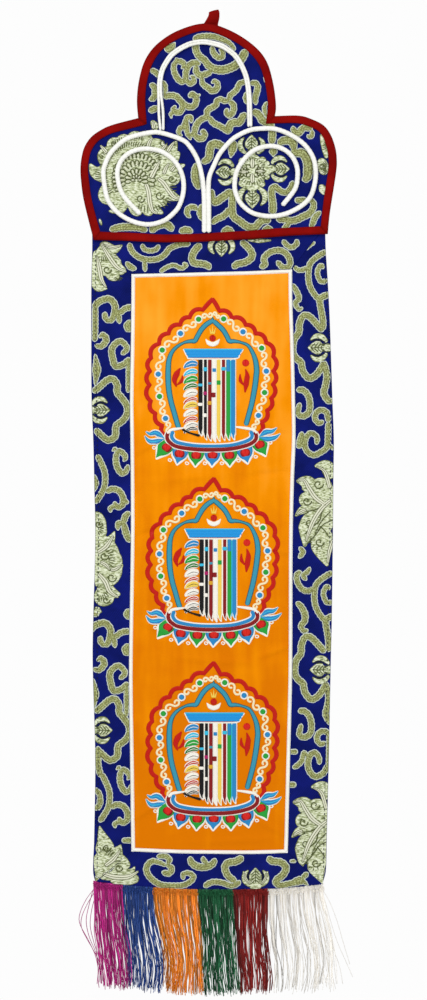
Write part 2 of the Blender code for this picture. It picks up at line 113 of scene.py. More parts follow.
ARCH_ROUTE = (
    (-43.5, -101.1), (-44.1, -90.3), (-44.6, -80.2), (-45.3, -70.1), (-45.2, -59.9), (-43.0, -49.8),
    (-37.1, -39.7), (-31.6, -34.6), (-24.9, -30.6), (-18.1, -27.9), (-8.0, -26.7), (5.5, -29.5),
    (13.1, -33.9), (19.4, -39.7), (25.2, -49.8), (28.4, -59.9), (30.1, -75.1), (30.6, -98.3),
)
LEFT_SCROLL_ROUTE = (
    (-7.8, -187.4), (-7.8, -172.2), (-7.9, -159.5), (-8.5, -149.4), (-9.7, -140.1), (-13.5, -125.8),
    (-20.7, -113.9), (-27.4, -108.7), (-43.5, -103.4), (-53.6, -103.0), (-70.5, -106.9), (-78.9, -112.1),
    (-86.9, -120.3), (-91.2, -129.1), (-92.9, -137.6), (-90.3, -156.1), (-85.7, -165.0), (-78.9, -171.8),
    (-70.5, -176.8), (-61.2, -179.8), (-51.9, -180.2), (-41.8, -177.2), (-35.0, -172.2), (-29.5, -165.8),
    (-26.2, -157.0), (-25.1, -148.5), (-26.1, -140.1), (-29.5, -131.7), (-35.4, -124.5), (-44.3, -118.8),
    (-53.6, -116.8), (-62.9, -117.1), (-71.3, -120.3), (-77.6, -126.2), (-80.8, -134.2), (-80.6, -142.6),
    (-78.1, -151.9), (-72.6, -160.4), (-61.6, -171.8),
)
RIGHT_SCROLL_ROUTE = (
    (-3.9, -187.4), (-3.9, -172.2), (-4.0, -159.5), (-4.3, -149.4), (-3.5, -140.1), (0.3, -130.8),
    (5.3, -120.7), (13.9, -110.6), (20.7, -105.5), (30.8, -100.9), (40.9, -99.6), (51.1, -99.8),
    (61.2, -103.0), (71.3, -108.7), (78.9, -115.6), (84.3, -124.9), (86.2, -135.0), (85.5, -145.2),
    (82.3, -155.7), (76.4, -162.9), (67.9, -168.4), (59.5, -171.8), (49.4, -173.5), (39.2, -172.6),
    (30.8, -169.6), (22.8, -162.5), (18.7, -154.0), (17.8, -146.0), (19.5, -135.9), (24.9, -126.6),
    (32.5, -119.0), (40.9, -115.3), (50.2, -114.4), (59.5, -117.3), (66.3, -123.2), (70.3, -131.7),
    (70.8, -140.9), (68.3, -151.1), (57.8, -164.6),
)

# How far down, then the left and right edges there.
BODY_SIDES = np.array((
    (181, -102.6, 94.4), (202, -102.6, 95.0), (227, -103.3, 96.6), (261, -103.4, 98.3), (328, -103.1, 100.5),
    (362, -101.7, 101.7), (396, -100.9, 101.3), (446, -100.0, 100.9), (514, -101.7, 100.0),
    (548, -102.2, 99.2), (632, -100.0, 97.5), (700, -100.9, 95.8), (727, -101.7, 95.0), (736.2, -99.6, 92.6),
))
SEAM_SIDES = np.array((
    (219, -67.8, 64.9), (244, -67.9, 65.1), (286, -68.4, 66.4), (328, -69.1, 67.4), (362, -68.7, 67.8),
    (396, -68.4, 66.5), (446, -68.3, 65.4), (560, -69.9, 64.9), (632, -69.0, 63.2), (700, -68.1, 61.5),
    (710, -67.9, 61.2),
))
# How far across, then the heights of the top edge, the top seam, the bottom seam and the hem.
BODY_ENDS = np.array((
    (-103, -186.0, -224.3, -707.4, -735.0), (-68, -185.2, -223.2, -708.5, -739.3),
    (-34, -184.3, -222.5, -709.5, -741.2), (0, -183.5, -221.6, -710.1, -741.9),
    (31, -182.8, -220.8, -710.1, -741.4), (65, -182.0, -219.3, -709.3, -740.4),
    (95, -181.2, -218.0, -708.3, -738.0),
))
# Soft creases of the panel: middle across and up, lean in radians, half length, half width and height.
PANEL_CREASES = (
    (52, -351, -0.25, 15, 2.2, 1.1), (-56, -368, 0.5, 13, 2.4, 1.1), (45, -391, 0.15, 20, 2.6, -0.9),
    (-50, -520, -0.4, 15, 2.6, 1.0), (53, -540, 0.35, 14, 2.2, 1.1), (-20, -394, 0.1, 30, 3.0, 0.8),
    (0, -548, -0.08, 36, 3.0, 0.7), (-56, -675, 0.6, 14, 2.4, 1.0), (50, -690, -0.5, 15, 2.4, 1.0),
    (-48, -230, 1.45, 24, 3.4, 0.8), (-18, -228, 1.6, 20, 3.0, -0.7), (42, -235, 1.5, 24, 3.4, 0.8),
    (55, -455, -0.3, 14, 2.2, 1.1), (-54, -440, 0.35, 14, 2.2, -1.0), (20, -700, 0.05, 34, 2.8, 0.7),
)
LOOP_SECTIONS = np.array((
    (-0.65, -18, -2.5, 12.6, 0), (-0.65, -11.5, -2.5, 12.6, 0), (-1.9, -8.6, -1.4, 11.2, 0),
    (-3.1, -6.2, -0.4, 10.2, 0), (-3.4, -3.6, 0.4, 9.4, 0.6), (-3.0, -1.4, 0.5, 9.0, 1.2),
    (-1.5, 0.1, 0.2, 8.4, 2.0), (0, 0.5, 0, 7.8, 2.3), (1.5, 0.1, 0.2, 8.4, 2.0), (3.0, -1.4, 0.5, 9.0, 1.2),
    (3.4, -3.6, 0.4, 9.4, 0.6), (3.1, -6.2, -0.4, 10.2, 0), (1.9, -8.6, -1.4, 11.2, 0),
    (0.65, -11.5, -2.5, 12.6, 0), (0.65, -18, -2.5, 12.6, 0),
))


class Side(IntEnum):
    """Columns of BODY_SIDES and SEAM_SIDES: how far across each edge lies."""

    LEFT = 1
    RIGHT = 2


class End(IntEnum):
    """Columns of BODY_ENDS: how far up each edge lies."""

    TOP_EDGE = 1
    TOP_SEAM = 2
    BOTTOM_SEAM = 3
    HEM = 4


def mixed(a: Array, b: Array, share: Array) -> Array:
    """The value a share of the way from a to b."""
    return a + (b - a) * share


def eased(value: Array) -> Array:
    """A smooth step from 0 to 1."""
    t = np.clip(value, 0.0, 1.0)
    return t * t * (3.0 - 2.0 * t)


def drape(x: Array, z: Array) -> Array:
    """Depth of the hanging cloth: a shallow bow in the head, upright waves in the body, a slight belly.

    Args:
        x: places across, in millimetres.
        z: places up, in millimetres.

    Returns:
        Depths in millimetres.
    """
    below_head = eased((-z - 195.0) / 150.0)
    near_hem = eased((-z - 600.0) / 140.0)
    bow = 0.7 * (1.0 - np.cos((x + 2.5) / 40.0)) * (1.0 - below_head)
    waves = 1.3 * np.sin(x / 24.0 + z / 260.0 + 0.5) * below_head
    hem_waves = 1.1 * np.sin(x / 13.0 + 1.0) * near_hem
    across = np.cos(np.minimum(np.abs(x) / 105.0, 1.0) * math.pi / 2.0)
    belly = -1.6 * across * np.sin(math.pi * np.clip((-z - 195.0) / 545.0, 0.0, 1.0))
    return bow + waves + hem_waves + belly


def look_up(rows: Array, key: Array, column: int) -> Array:
    """A column's value at each key, on a smooth cubic curve through the table's rows.

    Args:
        rows: the table, its first column rising.
        key: values of the first column.
        column: the column that is read.

    Returns:
        The values, one for each key.
    """
    key = np.asarray(key, dtype=float)
    last = len(rows) - 1
    i = np.clip(np.searchsorted(rows[:, 0], key) - 1, 0, last - 1)
    before = rows[np.maximum(i - 1, 0)]
    here = rows[i]
    there = rows[i + 1]
    after = rows[np.minimum(i + 2, last)]
    span = there[..., 0] - here[..., 0]
    t = np.clip((key - here[..., 0]) / span, 0.0, 1.0)
    slope_here = span * (there[..., column] - before[..., column]) / (there[..., 0] - before[..., 0])
    slope_there = span * (after[..., column] - here[..., column]) / (after[..., 0] - here[..., 0])
    rise = there[..., column] - here[..., column]
    bend = (3.0 * rise - 2.0 * slope_here - slope_there) * t**2
    return here[..., column] + slope_here * t + bend + (slope_here + slope_there - 2.0 * rise) * t**3


def side_at(rows: Array, z: Array, column: Side) -> Array:
    """X of a side table's edge at a height."""
    return look_up(rows, -np.asarray(z, dtype=float), column)


def end_at(x: Array, column: End) -> Array:
    """Z of the body's top, hem or seam at a place across it."""
    return look_up(BODY_ENDS, x, column)


def dense_path(points: Array, steps: int = 12) -> Array:
    """A Catmull-Rom curve through the points, with some steps in each stretch.

    Args:
        points: (count, 2 or 3) places.
        steps: samples in each stretch.

    Returns:
        The samples in order.
    """
    points = np.asarray(points, dtype=float)
    padded = np.concatenate([points[:1], points, points[-1:]])
    t = (np.arange(steps) / steps)[None, :, None]
    a, b, c, d = (padded[k : len(points) - 1 + k, None, :] for k in range(4))
    curve = 0.5 * (2 * b + (c - a) * t + (2 * a - 5 * b + 4 * c - d) * t**2 + (3 * b - a - 3 * c + d) * t**3)
    return np.concatenate([curve.reshape(-1, points.shape[1]), points[-1:]])


def lengths_along(path: Array) -> Array:
    """Distance from the start of a path to each of its points."""
    return np.concatenate([[0.0], np.cumsum(np.linalg.norm(np.diff(path, axis=0), axis=1))])


def at_lengths(path: Array, along: Array) -> Array:
    """Places on a path at the given distances from its start."""
    reach = lengths_along(path)
    return np.stack([np.interp(along, reach, path[:, k]) for k in range(path.shape[1])], axis=1)


def even_path(points: Array, count: int) -> Array:
    """Evenly spaced places on a smooth curve through the points."""
    dense = dense_path(points, 16)
    return at_lengths(dense, np.linspace(0.0, lengths_along(dense)[-1], count))


def side_steps(path: Array, closed: bool = False) -> Array:
    """Unit step to the left of the way along a flat path, at each of its points.

    Args:
        path: (points, 2) places on the path.
        closed: whether it ends where it starts.

    Returns:
        (points, 2) steps.
    """
    if closed:
        run = np.roll(path, -1, axis=0) - np.roll(path, 1, axis=0)
    else:
        run = np.gradient(path, axis=0)
    run = run / np.maximum(np.linalg.norm(run, axis=1, keepdims=True), 1e-9)
    return np.stack([-run[:, 1], run[:, 0]], axis=1)


def grid_faces(index: Array, wrap_rows: bool = False, wrap_columns: bool = False) -> Array:
    """Quads over a grid of vertex numbers, facing the back when rows go down and columns go right.

    Args:
        index: (rows, columns) vertex numbers.
        wrap_rows: joins the last row to the first.
        wrap_columns: joins the last column to the first.

    Returns:
        (count, 4) vertex numbers.
    """
    if wrap_columns:
        index = np.concatenate([index, index[:, :1]], axis=1)
    if wrap_rows:
        index = np.concatenate([index, index[:1]], axis=0)
    corners = [index[:-1, :-1], index[:-1, 1:], index[1:, 1:], index[1:, :-1]]
    return np.stack(corners, axis=-1).reshape(-1, 4)


def facing_front(points: Array, faces: Array) -> Array:
    """The faces in the order that makes most of them face the front.

    Args:
        points: (points, 3) places.
        faces: point numbers of each face.

    Returns:
        The faces, turned if need be.
    """
    a, b, d = points[faces[:, 0]], points[faces[:, 1]], points[faces[:, -1]]
    toward_back = np.cross(b - a, d - a)[:, 1].sum()
    return faces[:, ::-1] if toward_back > 0.0 else faces


def ring_distance(x: Array, z: Array, ring: Array) -> tuple[Array, Array, Array]:
    """Distance from each place to the nearest edge of a closed ring, and where on it that is.

    Args:
        x: places across.
        z: places up.
        ring: (count, 2) corners.

    Returns:
        Distances, and the x and z of the nearest places.
    """
    start, run = ring, np.roll(ring, -1, axis=0) - ring
    square = np.maximum((run**2).sum(axis=1), 1e-12)
    flat_x, flat_z = x.ravel(), z.ravel()
    nearest = np.empty((3, flat_x.size))
    chunk = 4000
    for first in range(0, flat_x.size, chunk):
        px, pz = flat_x[first : first + chunk, None], flat_z[first : first + chunk, None]
        share = ((px - start[:, 0]) * run[:, 0] + (pz - start[:, 1]) * run[:, 1]) / square
        share = np.clip(share, 0.0, 1.0)
        qx, qz = start[:, 0] + share * run[:, 0], start[:, 1] + share * run[:, 1]
        reach = (qx - px) ** 2 + (qz - pz) ** 2
        best = reach.argmin(axis=1)
        rows = np.arange(best.size)
        nearest[:, first : first + chunk] = np.sqrt(reach[rows, best]), qx[rows, best], qz[rows, best]
    return tuple(part.reshape(x.shape) for part in nearest)


def inside_ring(x: Array, z: Array, ring: Array) -> Array:
    """True inside a closed ring: a line from the place to the right crosses it an odd number of times.

    Args:
        x: places across.
        z: places up.
        ring: (corners, 2) corners of the ring.

    Returns:
        One truth value for each place.
    """
    there = np.roll(ring, -1, axis=0)
    crossings = np.zeros(x.shape, dtype=int)
    for (ax, az), (bx, bz) in zip(ring, there):
        if az != bz:
            cross_x = ax + (z - az) * (bx - ax) / (bz - az)
            crossings += ((az > z) != (bz > z)) & (x < cross_x)
    return crossings % 2 == 1


def ring_area(ring: Array) -> float:
    """Area inside a closed ring, by the shoelace rule."""
    there = np.roll(ring, -1, axis=0)
    return abs(float((ring[:, 0] * there[:, 1] - there[:, 0] * ring[:, 1]).sum())) / 2.0


@dataclass
class Skin:
    """Vertices and faces in the making, in millimetres, with the values that its finish reads."""

    points: list[Array]
    faces: list[Array]
    cloth_uv: list[Array]
    tint: list[Array]
    across: list[Array]
    count: int = 0

    @classmethod
    def empty(cls) -> "Skin":
        """A skin with nothing in it yet."""
        return cls([], [], [], [], [])

    def add(
        self, points: Array, faces: list[Array], cloth_uv: Array, tint: object = UNDYED, across: object = 0.0
    ) -> None:
        """Puts more vertices and faces in.

        Args:
            points: (count, 3) places in millimetres.
            faces: arrays of vertex numbers, counted from 0.
            cloth_uv: (count, 2) millimetres along and across the surface.
            tint: one colour or shade for them all, or (count, 3).
            across: share of the way from the middle of a mark to its edge, from -1 to 1.
        """
        self.points.append(points)
        self.faces.extend(face + self.count for face in faces)
        self.cloth_uv.append(cloth_uv)
        self.tint.append(np.broadcast_to(np.asarray(tint, dtype=float), (len(points), 3)))
        self.across.append(np.broadcast_to(np.asarray(across, dtype=float), len(points)))
        self.count += len(points)

    def piece(self, name: str) -> Piece:
        """Makes the object, with its cloth_uv map and its tint attribute.

        Args:
            name: the piece's name.

        Returns:
            The object, at the origin.
        """
        points = np.concatenate(self.points) * MM
        loops = np.concatenate([face.ravel() for face in self.faces])
        sizes = np.concatenate([np.full(len(face), face.shape[1]) for face in self.faces])
        mesh = bpy.data.meshes.new(name)
        mesh.vertices.add(len(points))
        mesh.vertices.foreach_set("co", points.ravel())
        mesh.loops.add(len(loops))
        mesh.loops.foreach_set("vertex_index", loops)
        mesh.polygons.add(len(sizes))
        mesh.polygons.foreach_set("loop_start", np.concatenate([[0], np.cumsum(sizes)[:-1]]))
        mesh.polygons.foreach_set("use_smooth", np.ones(len(sizes), dtype=bool))
        mesh.update(calc_edges=True)
        uv = mesh.uv_layers.new(name="cloth_uv")
        uv.data.foreach_set("uv", np.concatenate(self.cloth_uv)[loops].ravel())
        tint = mesh.attributes.new("tint", "FLOAT_COLOR", "POINT")
        colours = np.concatenate(self.tint)
        tint.data.foreach_set("color", np.concatenate([colours, np.ones((len(colours), 1))], axis=1).ravel())
        share = mesh.attributes.new("across", "FLOAT", "POINT")
        share.data.foreach_set("value", np.concatenate(self.across))
        mesh.validate()
        piece = bpy.data.objects.new(name, mesh)
        bpy.context.scene.collection.objects.link(piece)
        return piece


def linear(code: str) -> tuple[float, float, float, float]:
    """A shader colour from an sRGB hex value such as "1C2280".

    Args:
        code: six hex digits.

    Returns:
        Red, green, blue and alpha from 0 to 1.
    """
    channels = [int(code[k : k + 2], 16) / 255.0 for k in (0, 2, 4)]
    lit = [c / 12.92 if c <= 0.04045 else ((c + 0.055) / 1.055) ** 2.4 for c in channels]
    return (*lit, 1.0)


def add_node(tree: Tree, kind: str, inputs: dict | None = None, **settings: object) -> bpy.types.Node:
    """Adds a node with its settings, and links or sets its inputs.

    Args:
        tree: the node tree.
        kind: Blender's name of the node's type.
        inputs: value or output socket for each input, by name or number.
        settings: the node's own settings.

    Returns:
        The node.
    """
    node = tree.nodes.new(kind)
    for key, value in settings.items():
        setattr(node, key, value)
    for key, value in (inputs or {}).items():
        if isinstance(value, Socket):
            tree.links.new(value, node.inputs[key])
        else:
            node.inputs[key].default_value = value
    return node


@dataclass(frozen=True)
class Finish:
    """A finish: its colours, its shine, and how far its threads stand out."""

    name: str
    colours: tuple[str, ...]
    roughness: float = 0.6
    sheen: float = 0.0
    specular: float = 0.4
    thread_mm: float = 0.9
    relief_mm: float = 0.1

    def material(self) -> bpy.types.Material:
        """The material, made once and kept under the finish's name.

        Returns:
            The material.
        """
        known = bpy.data.materials.get(self.name)
        if known:
            return known
        material = bpy.data.materials.new(self.name)
        material.use_nodes = True
        tree = material.node_tree
        shader = tree.nodes["Principled BSDF"]
        shader.inputs["Roughness"].default_value = self.roughness
        shader.inputs["Specular IOR Level"].default_value = self.specular
        if self.sheen > 0.0:
            shader.inputs["Sheen Weight"].default_value = self.sheen
            shader.inputs["Sheen Roughness"].default_value = 0.4
        colour, height = self.pattern(tree)
        tree.links.new(colour, shader.inputs["Base Color"])
        bump = add_node(
            tree, "ShaderNodeBump", {"Height": height, "Distance": self.relief_mm * MM, "Strength": 0.9}
        )
        tree.links.new(bump.outputs[0], shader.inputs["Normal"])
        return material

    def pattern(self, tree: Tree) -> tuple[Socket, Socket]:
        """Colour and height outputs; each kind of finish has its own."""
        raise NotImplementedError

    def ramp(self, tree: Tree, share: Socket, low: float, high: float) -> bpy.types.Node:
        """A blend through the finish's colours as share goes from low to high.

        Args:
            tree: the material's node tree.
            share: what the colours follow.
            low: share at the first colour.
            high: share at the last colour.

        Returns:
            The colour ramp.
        """
        ramp = add_node(tree, "ShaderNodeValToRGB", {"Fac": share})
        steps = ramp.color_ramp.elements
        while len(steps) < len(self.colours):
            steps.new(0.5)
        for k, code in enumerate(self.colours):
            steps[k].position = low + (high - low) * k / max(len(self.colours) - 1, 1)
            steps[k].color = linear(code)
        return ramp

    def wave(
        self, tree: Tree, where: Socket, mm: float, turn: float, bands: str = "X"
    ) -> Socket:
        """Thread lines of one spacing, from 0 in the gaps to 1 on the threads.

        Args:
            tree: the node tree.
            where: coordinates in metres, or in millimetres for the cloth_uv map.
            mm: spacing in the coordinates' own unit.
            turn: how far the lines lean, in radians.
            bands: the axis that the lines cross.

        Returns:
            The output that holds them.
        """
        leaned = add_node(tree, "ShaderNodeMapping", {"Vector": where, "Rotation": (0.0, 0.0, turn)})
        # A wave texture of scale 1 makes 20 / (2 pi) lines in one unit.
        lines = add_node(
            tree, "ShaderNodeTexWave",
            {"Vector": leaned.outputs[0], "Scale": 2.0 * math.pi / (20.0 * mm), "Distortion": 0.0},
            wave_type="BANDS", bands_direction=bands, wave_profile="SIN",
        )
        return lines.outputs["Fac"]

    def noise(self, tree: Tree, where: Socket, size: float, detail: float = 2.0) -> Socket:
        """Soft noise whose patches are about one size across, in the coordinates' unit.

        Args:
            tree: the material's node tree.
            where: coordinates that it reads.
            size: size of a patch.
            detail: how many finer layers it has.

        Returns:
            The noise, from 0 to 1.
        """
        cloud = add_node(
            tree, "ShaderNodeTexNoise",
            {"Vector": where, "Scale": 1.0 / size, "Detail": detail, "Roughness": 0.6},
        )
        return cloud.outputs["Fac"]

    def uv(self, tree: Tree) -> Socket:
        """Millimetres along and across the surface."""
        return add_node(tree, "ShaderNodeUVMap", uv_map="cloth_uv").outputs["UV"]

    def tinted(self, tree: Tree, colour: Socket) -> Socket:
        """A colour times the tint attribute.

        Args:
            tree: the material's node tree.
            colour: the colour before the tint.

        Returns:
            The tinted colour.
        """
        tint = add_node(tree, "ShaderNodeAttribute", attribute_name="tint")
        both = add_node(
            tree, "ShaderNodeMix", {"Factor": 1.0, 6: colour, 7: tint.outputs["Color"]},
            data_type="RGBA", blend_type="MULTIPLY",
        )
        return both.outputs[2]

    def math(self, tree: Tree, operation: str, *values: object) -> Socket:
        """One step of arithmetic."""
        return add_node(tree, "ShaderNodeMath", dict(enumerate(values)), operation=operation).outputs[0]


class WovenCloth(Finish):
    """Cloth woven in a satin or twill: leaning thread lines, soft uneven dyeing and a crossed thread."""

    def pattern(self, tree: Tree) -> tuple[Socket, Socket]:
        """Leaning lines darken and lift the ground; slow noise shifts its colour.

        Args:
            tree: the material's node tree.

        Returns:
            The colour and the height of the relief.
        """
        where = self.uv(tree)
        lines = self.wave(tree, where, self.thread_mm, 0.85)
        cross = self.wave(tree, where, self.thread_mm * 1.3, -0.5)
        cloud = self.noise(tree, where, 28.0, 3.0)
        speck = self.noise(tree, where, 0.7, 1.0)
        weave = self.math(tree, "MULTIPLY_ADD", lines, 0.22, self.math(tree, "MULTIPLY", cross, 0.1))
        uneven = self.math(tree, "MULTIPLY_ADD", speck, 0.3, self.math(tree, "MULTIPLY", cloud, 0.55))
        share = self.math(tree, "ADD", weave, uneven)
        colour = self.ramp(tree, share, 0.3, 0.8).outputs["Color"]
        height = self.math(tree, "MULTIPLY_ADD", lines, 0.7, self.math(tree, "MULTIPLY", cross, 0.3))
        return self.tinted(tree, colour), height


class PanelSatin(WovenCloth):
    """Satin whose long floats run upright: broad upright bands of painted sheen, lighter or deeper, and
    painted sheen that makes it lighter towards the top.
    """

    def pattern(self, tree: Tree) -> tuple[Socket, Socket]:
        """Noise drawn out upright as painted sheen bands, under fine upright thread lines, and painted sheen
        that grows with height.

        Args:
            tree: the material's node tree.

        Returns:
            The colour and the height of the relief.
        """
        where = self.uv(tree)
        # Painted sheen: noise drawn out upright gives broad lighter and deeper bands in the colour.
        long_way = add_node(tree, "ShaderNodeMapping", {"Vector": where, "Scale": (1.0, 0.16, 1.0)})
        bands = self.noise(tree, long_way.outputs[0], 17.0, 2.0)
        cloud = self.noise(tree, where, 32.0, 2.0)
        threads = self.wave(tree, where, self.thread_mm, 0.0)
        speck = self.noise(tree, where, 0.8, 1.0)
        share = self.math(tree, "MULTIPLY_ADD", threads, 0.06, self.math(tree, "MULTIPLY", speck, 0.12))
        share = self.math(tree, "MULTIPLY_ADD", bands, 0.62, share)
        share = self.math(tree, "MULTIPLY_ADD", cloud, 0.3, share)
        # Painted sheen: the colour grows lighter with height on the hanging.
        place = add_node(tree, "ShaderNodeTexCoord").outputs["Object"]
        height = add_node(tree, "ShaderNodeSeparateXYZ", {"Vector": place}).outputs["Z"]
        painted_top_sheen = self.math(tree, "MULTIPLY_ADD", height, 0.9, 0.32)
        share = self.math(tree, "ADD", share, painted_top_sheen)
        return self.tinted(tree, self.ramp(tree, share, 0.32, 0.78).outputs["Color"]), threads


class PlyCord(Finish):
    """Cotton cord or covered piping: the plies are modelled, and this gives fine fibres and soft shade."""

    def pattern(self, tree: Tree) -> tuple[Socket, Socket]:
        """Fine leaning fibres and a little soil.

        Args:
            tree: the material's node tree.

        Returns:
            The colour and the height of the relief.
        """
        where = self.uv(tree)
        fibres = self.wave(tree, where, self.thread_mm, 0.9)
        soil = self.noise(tree, where, 9.0, 3.0)
        share = self.math(tree, "MULTIPLY_ADD", fibres, 0.4, self.math(tree, "MULTIPLY", soil, 0.6))
        return self.tinted(tree, self.ramp(tree, share, 0.2, 0.8).outputs["Color"]), fibres


@dataclass(frozen=True)
class RayonThread(Finish):
    """Loose rayon thread of the fringe: each thread has its own shade, with a twist that glints and a painted
    glow of its own colour.
    """

    # Painted glow: how strongly the thread gives off its own colour.
    glow: float = THREAD_PAINTED_GLOW

    def pattern(self, tree: Tree) -> tuple[Socket, Socket]:
        """Twist lines across the thread, and a slow change of shade down it.

        Args:
            tree: the material's node tree.

        Returns:
            The colour and the height of the relief.
        """
        where = self.uv(tree)
        twist = self.wave(tree, where, self.thread_mm, 0.6)
        slow = self.noise(tree, where, 14.0, 2.0)
        share = self.math(tree, "MULTIPLY_ADD", twist, 0.35, self.math(tree, "MULTIPLY", slow, 0.6))
        return self.tinted(tree, self.ramp(tree, share, 0.15, 0.85).outputs["Color"]), twist

    def material(self) -> bpy.types.Material:
        """The material, with a painted glow: its own colour given off as emission, in place of the light that
        shines through so thin a thread.

        Returns:
            The material.
        """
        material = super().material()
        tree = material.node_tree
        shader = tree.nodes["Principled BSDF"]
        if not shader.inputs["Emission Color"].links:
            tree.links.new(shader.inputs["Base Color"].links[0].from_socket, shader.inputs["Emission Color"])
            shader.inputs["Emission Strength"].default_value = self.glow
        return material


def rayon(colour: str, codes: tuple[str, ...], glow: float = THREAD_PAINTED_GLOW) -> tuple[str, RayonThread]:
    """Slot and finish of one colour of fringe."""
    name = f"{colour.replace('_', ' ')} rayon fringe"
    return f"{colour}_thread", RayonThread(name, codes, 0.45, 0.0, 0.3, 1.1, 0.05, glow)


# Polyester brocade's satin ground: nearly no shine face on, so the blue looks deep and even.
BROCADE_GROUND = WovenCloth("satin brocade ground", ("050A34", "0C165E", "161F80"), 0.7, 0.0, 0.03, 1.0, 0.1)
# Polyester satin with upright floats: painted sheen in broad soft upright bands, and painted sheen that makes
# it lighter towards the top.
ORANGE_SATIN = PanelSatin(
    "orange polyester satin", ("DC7600", "F08E00", "FFA42C"), 0.6, 0.0, 0.02, 0.9, 0.06
)
# Cotton bias tape: a dull, close plain weave; on the binding, painted shade darkens it towards its folded
# edges and at the mitres.
RED_TAPE = WovenCloth("plain weave bias tape", ("560403", "7E0805", "9A0E0A"), 0.8, 0.0, 0.04, 0.9, 0.12)
# Bleached cotton braid and the cotton cover of the piping: matt white, with a little soil between the plies.
WHITE_BRAID = PlyCord("braided white cotton cord", ("DCDCD2", "F8F8F2", "FFFFFF"), 0.8, 0.0, 0.15, 0.6, 0.06)
WHITE_PIPING = PlyCord("covered white piping", ("E6E3D2", "FAF8EE", "FFFFFC"), 0.8, 0.0, 0.15, 0.6, 0.06)
# Twisted rayon: glossy, with a painted glow for the light through its thin threads, stronger for the white
# ones, and a lighter or deeper shade from thread to thread.
THREADS = {
    "fringe_magenta": rayon("magenta", ("780650", "B4107C", "EE68C0")),
    "fringe_blue": rayon("blue", ("0A1442", "163E8C", "6A90DA")),
    "fringe_orange": rayon("orange", ("A45006", "E88610", "FFC06C")),
    "fringe_green": rayon("green", ("042812", "0A5630", "5AB282")),
    "fringe_dark_red": rayon("dark_red", ("420305", "860A0C", "D05850")),
    "fringe_white": rayon("white", ("C6BEB0", "F2EEE6", "FFFFFF"), WHITE_PAINTED_GLOW),
}


@dataclass
class Cloth:
    """A sheet of the hanging: its edge ring and the depth of its front face, which what is on it follows."""

    ring: Array
    depth: float
    thick: float
    mark_ring: Array
    creases: tuple[tuple[float, float, float, float, float, float], ...] = ()
    pucker: float = 0.12
    edge_round: float = 1.3

    def middle(self, x: Array, z: Array, edge: Array) -> Array:
        """Depth of the middle: drape, puckers that fade off from the seams, slow unevenness and creases.

        Args:
            x: places across.
            z: places up.
            edge: distance of each from the nearest edge.

        Returns:
            Depths in millimetres.
        """
        ripples = np.sin(z / 1.9 + 1.3 * np.sin(z / 17.0)) + np.sin(x / 2.1 + 1.1 * np.sin(x / 13.0))
        slow = np.sin(x / 11.0 + z / 23.0) * np.sin(z / 19.0 - x / 31.0)
        depth = self.depth + drape(x, z) + self.pucker * ripples * np.exp(-edge / 4.0) + 0.16 * slow
        for cx, cz, turn, length, width, height in self.creases:
            run = (x - cx) * math.cos(turn) + (z - cz) * math.sin(turn)
            off = (z - cz) * math.cos(turn) - (x - cx) * math.sin(turn)
            depth = depth - CREASE_GAIN * height * np.exp(-((run / length) ** 2) - (off / width) ** 2)
        return depth

    def half(self, edge: Array) -> Array:
        """Half the thickness, a quarter round at the edge."""
        t = np.clip(edge / self.edge_round, 0.0, 1.0)
        return self.thick / 2.0 * np.sqrt(np.maximum(1.0 - (1.0 - t) ** 2, 0.0))

    def front(self, x: Array, z: Array) -> Array:
        """Depth of the front face."""
        edge = ring_distance(x, z, self.ring)[0]
        return self.middle(x, z, edge) - self.half(edge)


def cloth_grid(cloth: Cloth, x: Array, z: Array) -> Skin:
    """A closed sheet on a grid of places: front and back faces that share the grid's border.

    Args:
        cloth: the sheet that the grid covers.
        x: (rows, columns) places across.
        z: (rows, columns) places up.

    Returns:
        The skin.
    """
    rows, columns = x.shape
    edge = ring_distance(x, z, cloth.ring)[0]
    edge[0], edge[-1], edge[:, 0], edge[:, -1] = 0.0, 0.0, 0.0, 0.0
    middle, half = cloth.middle(x, z, edge), cloth.half(edge)
    front = np.arange(rows * columns).reshape(rows, columns)
    back = front.copy()
    back[1:-1, 1:-1] = rows * columns + np.arange((rows - 2) * (columns - 2)).reshape(rows - 2, columns - 2)
    inner = (slice(1, -1), slice(1, -1))
    front_points = np.stack([x, middle - half, z], axis=-1).reshape(-1, 3)
    back_points = np.stack([x[inner], (middle + half)[inner], z[inner]], axis=-1).reshape(-1, 3)
    points = np.concatenate([front_points, back_points])
    front_faces = facing_front(points, grid_faces(front))
    back_faces = facing_front(points, grid_faces(back))[:, ::-1]
    skin = Skin.empty()
    skin.add(points, [front_faces, back_faces], points[:, [0, 2]])
    return skin


def spaced(length: float, step: float) -> Array:
    """Shares from 0 to 1 with even steps, and finer ones within 2 mm of both ends.

    Args:
        length: length to share out, in millimetres.
        step: length of an even step.

    Returns:
        The shares.
    """
    fine = np.array((0.0, 0.25, 0.7, 1.3))
    even = np.linspace(2.0, length - 2.0, max(round((length - 4.0) / step), 2) + 1)
    return np.concatenate([fine, even, length - fine[::-1]]) / length


def grid_ring(x: Array, z: Array) -> Array:
    """The border of a grid, in order."""
    places = np.stack([x, z], axis=-1)
    return np.concatenate([places[0], places[1:, -1], places[-1, -2::-1], places[-2:0:-1, 0]])


